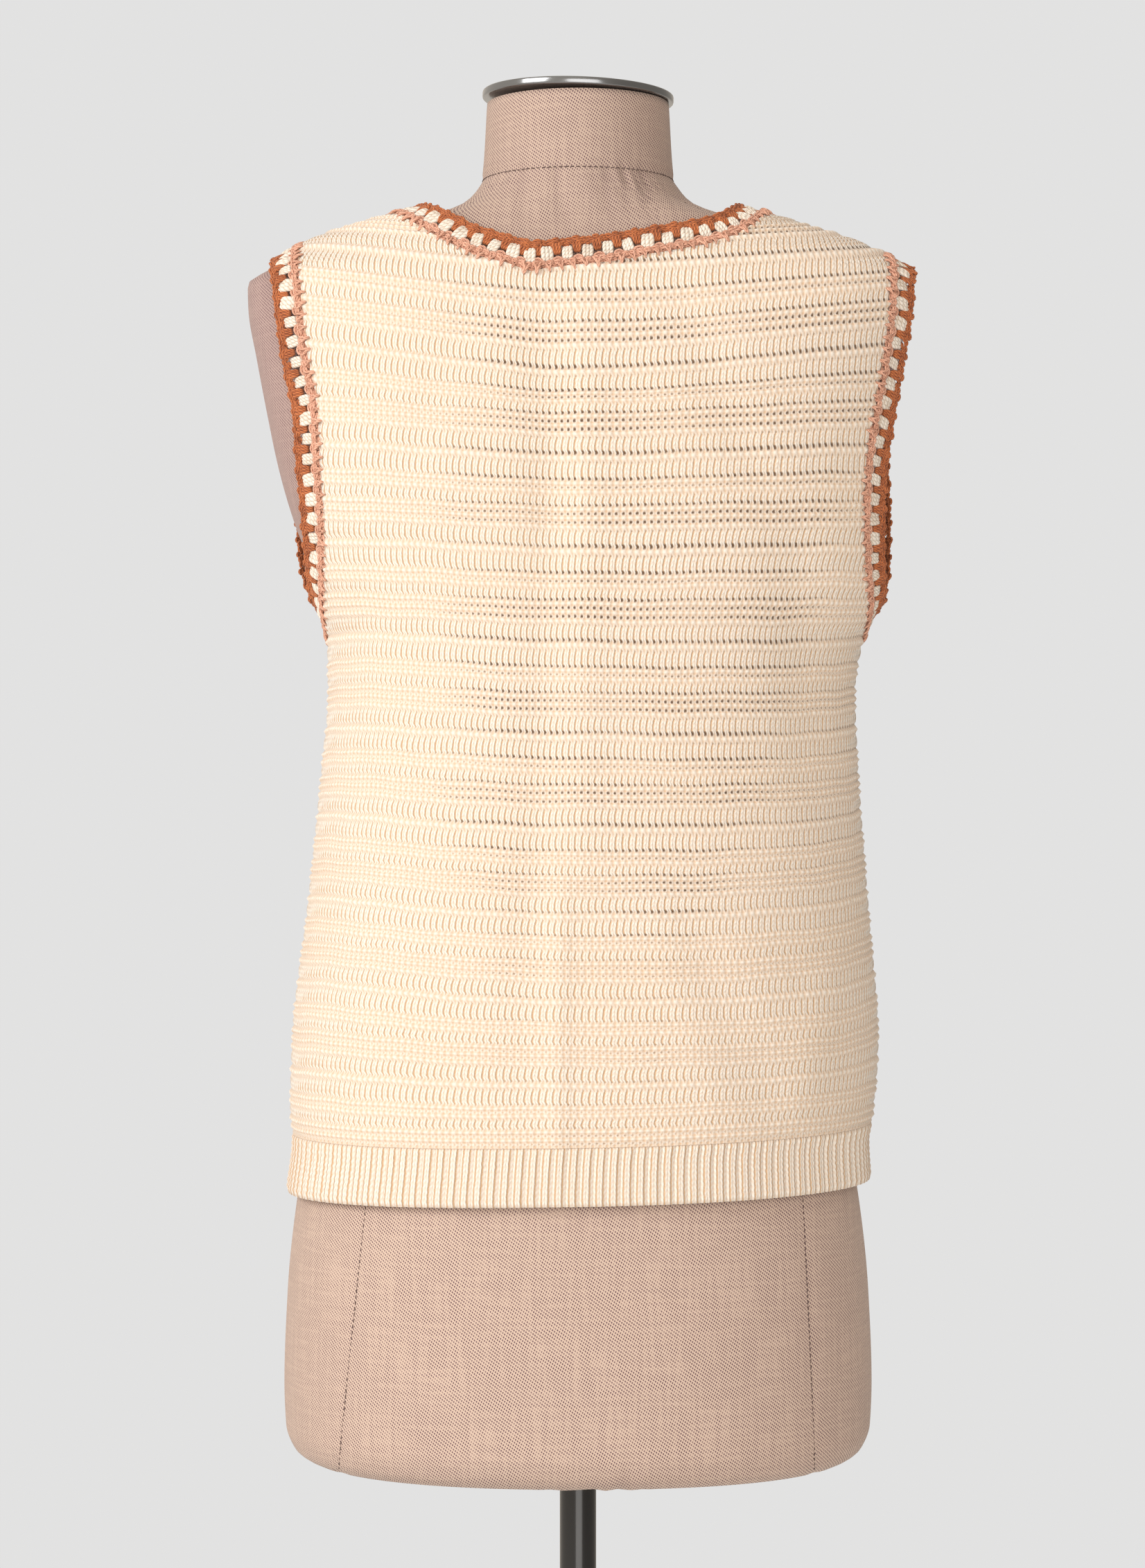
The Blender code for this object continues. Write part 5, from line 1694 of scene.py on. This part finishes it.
@dataclass
class Button:
    """A four-hole button with a raised rim, sewn on with a cross of thread."""

    number: int
    z: float
    radius: float = 0.009
    thick: float = 0.0036
    gap: float = 0.0005
    cross: float = 1.5
    profile: tuple[tuple[float, float], ...] = (
        (0.0, 0.0), (0.6, 0.0), (0.88, 0.25), (1.0, 0.55), (0.97, 0.85),
        (0.88, 1.0), (0.78, 0.93), (0.66, 0.72), (0.4, 0.66), (0.0, 0.66),
    )

    def build(self) -> list[Object]:
        """Makes the button and its thread."""
        angle = float(CLOTH.angle_of(self.z, 0.0, Face.FRONT))
        out = CLOTH.out(self.z, angle, Face.FRONT)
        seat = CLOTH.point(self.z, angle, Face.FRONT) + out * (CUT.band_lift + CUT.wall + self.gap)
        profile = [(self.radius * across, self.thick * up) for across, up in self.profile]
        disc = Lathe(f"button_{self.number}_horn", profile, 48).build(FINISH.horn, seat, out, X_AXIS)
        inner = self.profile[-1][1] * self.thick / MM - 0.3
        strands = []
        for way in (1, -1):
            one, two = (np.array([x, way * x, inner]) for x in (-self.cross, self.cross))
            middle = (one + two) / 2 + 0.75 * Z_AXIS
            line = [one, 0.5 * (one + middle) + 0.3 * Z_AXIS, middle, 0.5 * (two + middle) + 0.3 * Z_AXIS, two]
            strands.append((bent(line, 9), np.full(9, 0.38), 6, 1.0))
        thread = yarn_piece(f"button_{self.number}_thread", strands)
        co = np.zeros(len(thread.data.vertices) * 3, np.float32)
        thread.data.vertices.foreach_get("co", co)
        local = co.reshape(-1, 3)
        world = seat + local[:, :1] * X_AXIS + local[:, 1:2] * np.cross(out, X_AXIS) + local[:, 2:] * out
        thread.data.vertices.foreach_set("co", world.astype(np.float32).ravel())
        thread.data.materials.append(FINISH.cream_yarn)
        return [disc, thread]


@dataclass
class DressForm:
    """The form's cover: a smooth body with sewn seams, puckers at the neck and a gathered bottom."""

    sides: int = 168
    rows: int = 200
    neck_seam_z: float = 1.5066
    seam_lines: tuple[tuple[float, float], ...] = ((-124.0, -141.0), (131.0, 138.0))
    seam_low: float = 0.745
    seam_high: float = 1.495
    seam_width: float = 0.0022
    seam_dip: float = 0.0008

    def point(self, z: Array, turn: Array) -> Array:
        """Points of the form at heights and turns, where 0 is at the right and pi/2 in front."""
        z, turn = np.broadcast_arrays(np.asarray(z, float), np.asarray(turn, float))
        power = 2 / FORM_RINGS.read("power", z)
        front, back = FORM_RINGS.read("front", z), FORM_RINGS.read("back", z)
        depth = np.where(np.sin(turn) > 0, front, -back)
        across = np.sign(np.cos(turn)) * np.abs(np.cos(turn)) ** power * FORM_RINGS.read("half_width", z)
        return np.stack([across, depth * np.abs(np.sin(turn)) ** power, z], -1)

    def normal(self, z: Array, turn: Array) -> Array:
        """Unit vectors out of the form."""
        step = 0.003
        up = self.point(z + step, turn) - self.point(z - step, turn)
        across = self.point(z, turn + 4 * step) - self.point(z, turn - 4 * step)
        return unit(np.cross(across, up))

    def seam_turn(self, z: Array, line: tuple[float, float]) -> Array:
        """The turn of a back seam, from its x in mm at the hem and at the bottom."""
        share = np.clip((0.89 - z) / (0.89 - 0.729), -3.0, 1.0)
        x = (line[0] + (line[1] - line[0]) * share) * MM
        half = FORM_RINGS.read("half_width", z)
        x = np.clip(x, -0.86 * half, 0.86 * half)
        ratio = np.clip(np.abs(x) / half, 0, 1) ** (FORM_RINGS.read("power", z) / 2)
        return TURN - np.arccos(np.sign(x) * ratio)

    def puckers(self, points: Array, turn: Array) -> tuple[Array, Array]:
        """The small folds of the cover: how far they move it, and how much painted shade darkens it there."""
        x, z = points[..., 0] / MM, points[..., 2] / MM
        back = np.sin(turn) < 0
        low = bell(z, 750, 17) * bell(x, 10, 30, 4) * back
        folds = np.sin(x / 2.0 + 1.2 * np.sin(x / 6.0)) * (0.7 + 0.3 * np.sin(x / 11.0 + 1))
        neck = bell(z, 1500, 7)
        around = np.sin(turn * 46 + 2 * np.sin(turn * 7)) * (0.55 + 0.45 * np.sin(turn * 5 + 0.6))
        seam = -0.0009 * bell(points[..., 2], self.neck_seam_z, 0.0016)
        drawn = grown(z, 1462, 20) * grown(1512, z, 8) * back
        pleats = sum(-bell(x - at, 0.12 * (1500 - z), 3.6) for at in (-34, -12, 16, 27, 39))
        # Painted shade in the fold troughs of the bottom, the neck puckers and the pleats.
        pucker_shade = np.clip(-low * folds, 0, 1) * 0.45 + np.abs(neck * around) * 0.35
        pucker_shade = pucker_shade + 0.2 * drawn * np.abs(pleats)
        return low * folds * 0.0013 + neck * around * 0.0008 + drawn * pleats * 0.0013 + seam, pucker_shade

    def build(self, tree: StitchTree, kit: StitchKit) -> list[Object]:
        """Makes the cover and the stitches of its seams.

        Args:
            tree: the stitch tree.
            kit: the stitches.

        Returns:
            The cover and its seam stitches.
        """
        heights = FORM_RINGS.column("z")
        rim = np.linspace(heights[0], heights[4], 24)
        body = np.linspace(heights[4], heights[-1], self.rows)[1:]
        turns = np.linspace(0, TURN, self.sides + 1)
        maker = MeshMaker()
        rows = []
        for z in np.concatenate([rim, body]):
            points = self.point(z, turns)
            out = self.normal(np.clip(z, heights[0] + 0.004, heights[-1] - 0.004), turns)
            moved, pucker_shade = self.puckers(points, turns)
            for line in self.seam_lines:
                seam_x = self.point(z, self.seam_turn(z, line))[0]
                sewn = (np.sin(turns) < 0) * (z < self.seam_high)
                moved = moved - self.seam_dip * bell(points[:, 0], seam_x, self.seam_width) * sewn
            around = lengths_along(points)
            around -= around[self.sides * 3 // 4]
            # The third value carries the painted shade of the puckers to the cover's colour.
            values = np.stack([around, np.full_like(turns, z), pucker_shade, 0 * turns], -1)
            rows.append(maker.row(points + out * moved[:, None], values))
        for index in (0, -1):
            edge = np.concatenate(maker.points)[rows[index]]
            middle = edge[:-1].mean(axis=0)
            blank = np.zeros((len(edge), 4))
            chain = [rows[index], *(maker.row(middle + (edge - middle) * share, blank) for share in (0.6, 0.25, 0.0))]
            maker.grid(chain if index else chain[::-1])
        maker.grid(rows)
        pieces = [maker.finish("form_cover", FINISH.cover, merge=1e-6)]
        for number, line in enumerate(self.seam_lines, 1):
            z = np.arange(self.seam_low, self.seam_high, 0.0034)
            seam = self.seam(z, self.seam_turn(z, line), 0.0006, X_AXIS)
            pieces.append(tree.sew(f"form_back_seam_{number}", seam, kit.dash, FINISH.thread, 0.1, 0.1, number))
        turn = np.linspace(0, TURN, 104, endpoint=False)
        seam = self.seam(np.full_like(turn, self.neck_seam_z), turn, 0.0007, Z_AXIS)
        pieces.append(tree.sew("form_neck_seam", seam, kit.dash, FINISH.thread, 0.1, 0.1, 5))
        return pieces

    def seam(self, z: Array, turn: Array, sink: float, off: Array) -> Stations:
        """Places for a seam's stitches, sunk a little into the cover."""
        out = self.normal(z, turn)
        return Stations(self.point(z, turn) - out * sink, out, np.tile(off, (len(z), 1)))


@dataclass
class Stand:
    """The neck cap, the pole and the round base."""

    cap_radius: float = 0.0577
    cap_thick: float = 0.0045
    cap_tilt: float = math.radians(1.7)
    cap_boss: float = 0.0095
    cap_hollow: float = 0.0012
    pole_radius: float = 0.011
    base_radius: float = 0.170
    base_thick: float = 0.010

    def build(self) -> list[tuple[Object, str, str]]:
        """Makes the three pieces, each with the solid it stands for and its slot."""
        top = FORM_RINGS.column("z")[-1] + CUT.seam_gap + self.cap_radius * math.sin(self.cap_tilt)
        axis = np.array([math.sin(self.cap_tilt), 0.0, math.cos(self.cap_tilt)])
        side = np.array([math.cos(self.cap_tilt), 0.0, -math.sin(self.cap_tilt)])
        dip = self.cap_thick - self.cap_hollow
        cap_profile = rounded(self.cap_radius, 0.0, self.cap_thick, 0.0011)[:-1]
        cap_profile += [(self.cap_boss, self.cap_thick), (self.cap_boss - 0.0005, dip), (0.0, dip)]
        cap = Lathe("neck_cap_steel", cap_profile, 144).build(FINISH.steel, (0.0, 0.0, top), axis, side)
        low, high = self.base_thick + CUT.seam_gap, FORM_RINGS.column("z")[0] - CUT.seam_gap
        pole = Lathe("pole_black", rounded(self.pole_radius, low, high, 0.0006), 72).build(FINISH.black)
        plate = rounded(self.base_radius, 0.0, self.base_thick, 0.003, 6)
        base = Lathe("base_black", plate, 160).build(FINISH.black)
        return [(cap, "neck_cap", "neck_cap"), (pole, "pole", "stand"), (base, "base_plate", "stand")]


@dataclass
class Studio:
    """The camera, the pale floor and soft light from the left."""

    camera_place: tuple[float, float, float] = (-0.0033, -2.2, 1.143)
    aim: tuple[float, float, float] = (0.0, 0.0, 1.2)
    lens: float = 83.65
    wall: Colour = (0.762, 0.760, 0.757)
    bounce: Colour = (0.95, 0.86, 0.75)
    floor: Colour = (0.78, 0.79, 0.80)
    floor_mottle: Colour = (0.75, 0.76, 0.77)

    def light(self, name: str, place: Sequence[float], size: float, power: float, colour: Colour) -> None:
        """Adds a square soft light that looks at the garment."""
        data = bpy.data.lights.new(name, "AREA")
        data.size, data.energy, data.color = size, power, colour
        lamp = placed(name, data)
        lamp.location = place
        lamp.rotation_euler = (Vector(self.aim) - Vector(place)).to_track_quat("-Z", "Y").to_euler()

    def build(self) -> None:
        """Sets up the whole studio."""
        scene = bpy.context.scene
        scene.view_settings.view_transform = "Standard"
        data = bpy.data.cameras.new("camera")
        data.lens, data.sensor_width = self.lens, 36.0
        data.clip_end = 60.0
        camera = placed("camera", data)
        camera.location = self.camera_place
        camera.rotation_euler = (math.pi / 2, 0.0, 0.0)
        scene.camera = camera
        world = bpy.data.worlds.new("studio")
        scene.world = world
        world.use_nodes = True
        nodes = Nodes(world.node_tree)
        background = world.node_tree.nodes["Background"]
        seen = nodes.add("ShaderNodeLightPath").outputs["Is Camera Ray"]
        nodes.put(background.inputs["Color"], nodes.blend(seen, self.bounce, self.wall))
        x = nodes.parts(nodes.add("ShaderNodeTexCoord").outputs["Generated"])[0]
        dim = nodes.ramp(x, -0.1, 0.9, 0.86, 0.42)
        nodes.put(background.inputs["Strength"], nodes.maths("MAXIMUM", seen, dim))
        self.light("key", (-2.6, -1.9, 2.5), 1.8, 66.0, (1.0, 0.985, 0.965))
        self.light("fill", (0.35, -3.4, 1.3), 2.4, 46.0, (1.0, 0.975, 0.95))
        slab = [(0.0, -0.0202), (2.9, -0.0202), (2.9, -0.0002), (0.0, -0.0002)]
        floor = Lathe("floor", slab, 128).build(self.floor_finish())
        floor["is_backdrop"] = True

    def floor_finish(self) -> Material:
        """Pale painted floor with a faint mottle."""
        nodes = Finish("pale_floor")
        mottle = nodes.ramp(nodes.noise(nodes.place(), 3.0, 3.0), 0.3, 0.7)
        nodes.put(nodes.shader.inputs["Base Color"], nodes.blend(mottle, self.floor, self.floor_mottle))
        nodes.plain(roughness=0.7)
        return nodes.material


class Cardigan:
    """The whole garment: panels, hem ribs, crochet edges, button bands and buttons."""

    armhole_centres = {Side.LEFT: (-0.17, 0.0, 1.36), Side.RIGHT: (0.19, 0.0, 1.36)}
    neck_centre = (0.0, 0.0, 1.45)
    buttons = 5
    first_button_z = 0.930
    last_button_z = 1.232

    def __init__(self, tree: StitchTree, kit: StitchKit) -> None:
        """Keeps the stitch tools and works out the courses."""
        self.tree, self.kit = tree, kit
        self.courses = Chart().rows()
        self.labels = [c.label for c in self.courses]

    def shoulder_label(self, side: Side) -> float:
        """The height on the shoulder line where the armhole edge meets it."""
        reach = ARMHOLE_EDGES.column(f"back_{side.value}")[-1]
        heights = np.linspace(ARMHOLE_EDGES.column("z")[-2], CUT.shoulder_neck_z, FINE)
        return float(np.interp(-reach, -CLOTH_RINGS.read(side.value, heights), heights))

    def armhole(self, side: Side) -> tuple[EdgePath, float]:
        """One armhole's closed edge, and how far along it the underarm lies."""
        top = self.shoulder_label(side)
        inside = [s for s in self.labels if CUT.underarm_z + 0.001 < s < top - 0.001]
        seam = 0.0 if side is Side.RIGHT else math.pi
        back = [(s, float(CLOTH.armhole_angle(s, Face.BACK, side)), Face.BACK) for s in reversed(inside)]
        front = [(s, float(CLOTH.armhole_angle(s, Face.FRONT, side)), Face.FRONT) for s in inside]
        entries = [(top, seam, Face.BACK), *back, (CUT.underarm_z, seam, Face.BACK), *front]
        path = EdgePath(entries, self.armhole_centres[side], closed=True)
        return path, float(path.length[len(back) + 1])

    def neck(self) -> tuple[EdgePath, float, float]:
        """The neck edge from the left opening round the back, and where the shoulders lie on it."""
        notch = BACK_NECK_EDGE.rows[0][0]
        low = next(s for s in self.labels
                   if CLOTH.height(s, CLOTH.notch_angle(s), Face.BACK) > notch - CUT.seam_gap)
        front = [CUT.vee_z, *[s for s in self.labels if s > CUT.vee_z + 0.001]]
        back = [s for s in self.labels if s > low]
        entries = [(s, float(CLOTH.front_edge_angle(s, Side.LEFT)), Face.FRONT) for s in front]
        first = len(entries)
        entries.append((CUT.shoulder_top_z, math.pi, Face.BACK))
        entries += [(s, float(CLOTH.neck_angle(s, Side.LEFT)), Face.BACK) for s in reversed(back)]
        entries.append((low, float(CLOTH.notch_angle(low)), Face.BACK))
        entries += [(s, float(CLOTH.neck_angle(s, Side.RIGHT)), Face.BACK) for s in back]
        second = len(entries)
        entries.append((CUT.shoulder_top_z, 0.0, Face.BACK))
        entries += [(s, float(CLOTH.front_edge_angle(s, Side.RIGHT)), Face.FRONT) for s in reversed(front)]
        path = EdgePath(entries, self.neck_centre, closed=False)
        return path, float(path.length[first]), float(path.length[second])

    def trims(self) -> Iterator[tuple[CrochetTrim, str]]:
        """Every crochet edging with the solid that it stands for."""
        for number, side in enumerate(Side):
            path, underarm = self.armhole(side)
            ends = (0.0, underarm, float(path.length[-1]))
            for face, start, stop in zip(Face, ends, ends[1:]):
                node = f"armhole_{side.value}_trim_{face.value}"
                name = f"armhole_{side.value}_{face.value}"
                yield CrochetTrim(name, path, start, stop, 20 * number + 100), node
        path, first, second = self.neck()
        ends = (0.0, first, second, float(path.length[-1]))
        for word, start, stop in zip(("front_left", "back", "front_right"), ends, ends[1:]):
            yield CrochetTrim(f"neck_{word}", path, start, stop, 300), f"neck_trim_{word}"

    def build(self) -> None:
        """Builds and declares every piece of the garment."""
        trims: dict[str, list[Object]] = {"back": [], "front_left": [], "front_right": []}
        for trim, node in self.trims():
            made = trim.build(self.tree, self.kit)
            for piece in made:
                declare(piece, "crochet", node)
            owner = "back" if "back" in node else f"front_{'left' if 'left' in node else 'right'}"
            trims[owner] += made
            report(made)
        for face, side in ((Face.BACK, None), (Face.FRONT, Side.LEFT), (Face.FRONT, Side.RIGHT)):
            panel, rib = KnitPanel(face, side), HemRib(face, side)
            knit, hem = panel.build(self.courses), rib.build()
            declare(knit, "knit", f"{panel.where}_panel")
            width, length, area = panel.cut_size()
            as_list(trims[panel.where])
            declare(hem, "knit", f"{rib.where}_hem_rib")
            rib.flat()
            report([knit, hem])
        inner = CUT.front_opening - CUT.seam_gap
        bands = (
            ButtonBand(Side.LEFT, -inner, inner, CUT.rib_lift - CUT.wall, CUT.rib_lift),
            ButtonBand(Side.RIGHT, -CUT.front_opening, CUT.front_opening + CUT.band_overlap,
                       CUT.band_lift, CUT.band_lift + CUT.wall),
        )
        for band in bands:
            made = band.build()
            declare(made, "knit", f"button_band_{band.side.value}")
            report([made])
        for number, z in enumerate(np.linspace(self.first_button_z, self.last_button_z, self.buttons), 1):
            disc, thread = Button(number, float(z)).build()
            declare(disc, "button", f"button_{number}")
            declare(thread, "crochet")
            report([disc, thread])


def declare(piece: Object, slot: str, *nodes: str) -> None:
    """Sets the piece to ride on the root and hides the solids that it stands for."""
    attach(piece, "root")
    if nodes:
        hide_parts(*nodes)


def report(pieces: Sequence[Object]) -> None:
    """Logs each piece with its number of triangles."""
    for piece in pieces:
        count = sum(len(p.vertices) - 2 for p in piece.data.polygons)
        LOG.info("%s: %d triangles", piece.name, count)


def main() -> None:
    """Builds the studio, the form, its stand and the garment."""
    logging.basicConfig(level=logging.INFO, format="%(message)s")
    Studio().build()
    tree, kit = StitchTree(), StitchKit()
    cover, *seams = DressForm().build(tree, kit)
    declare(cover, "form_cover", "form_body")
    for seam in seams:
        declare(seam, "form_cover")
    report([cover, *seams])
    for piece, node, slot in Stand().build():
        declare(piece, slot, node)
        report([piece])
    Cardigan(tree, kit).build()
    kit.clear()
    boxes = {"cad": CAD_BOX, "visual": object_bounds()}
    {name: [list(corner) for corner in box] for name, box in boxes.items()}


if __name__ == "__main__":
    main()
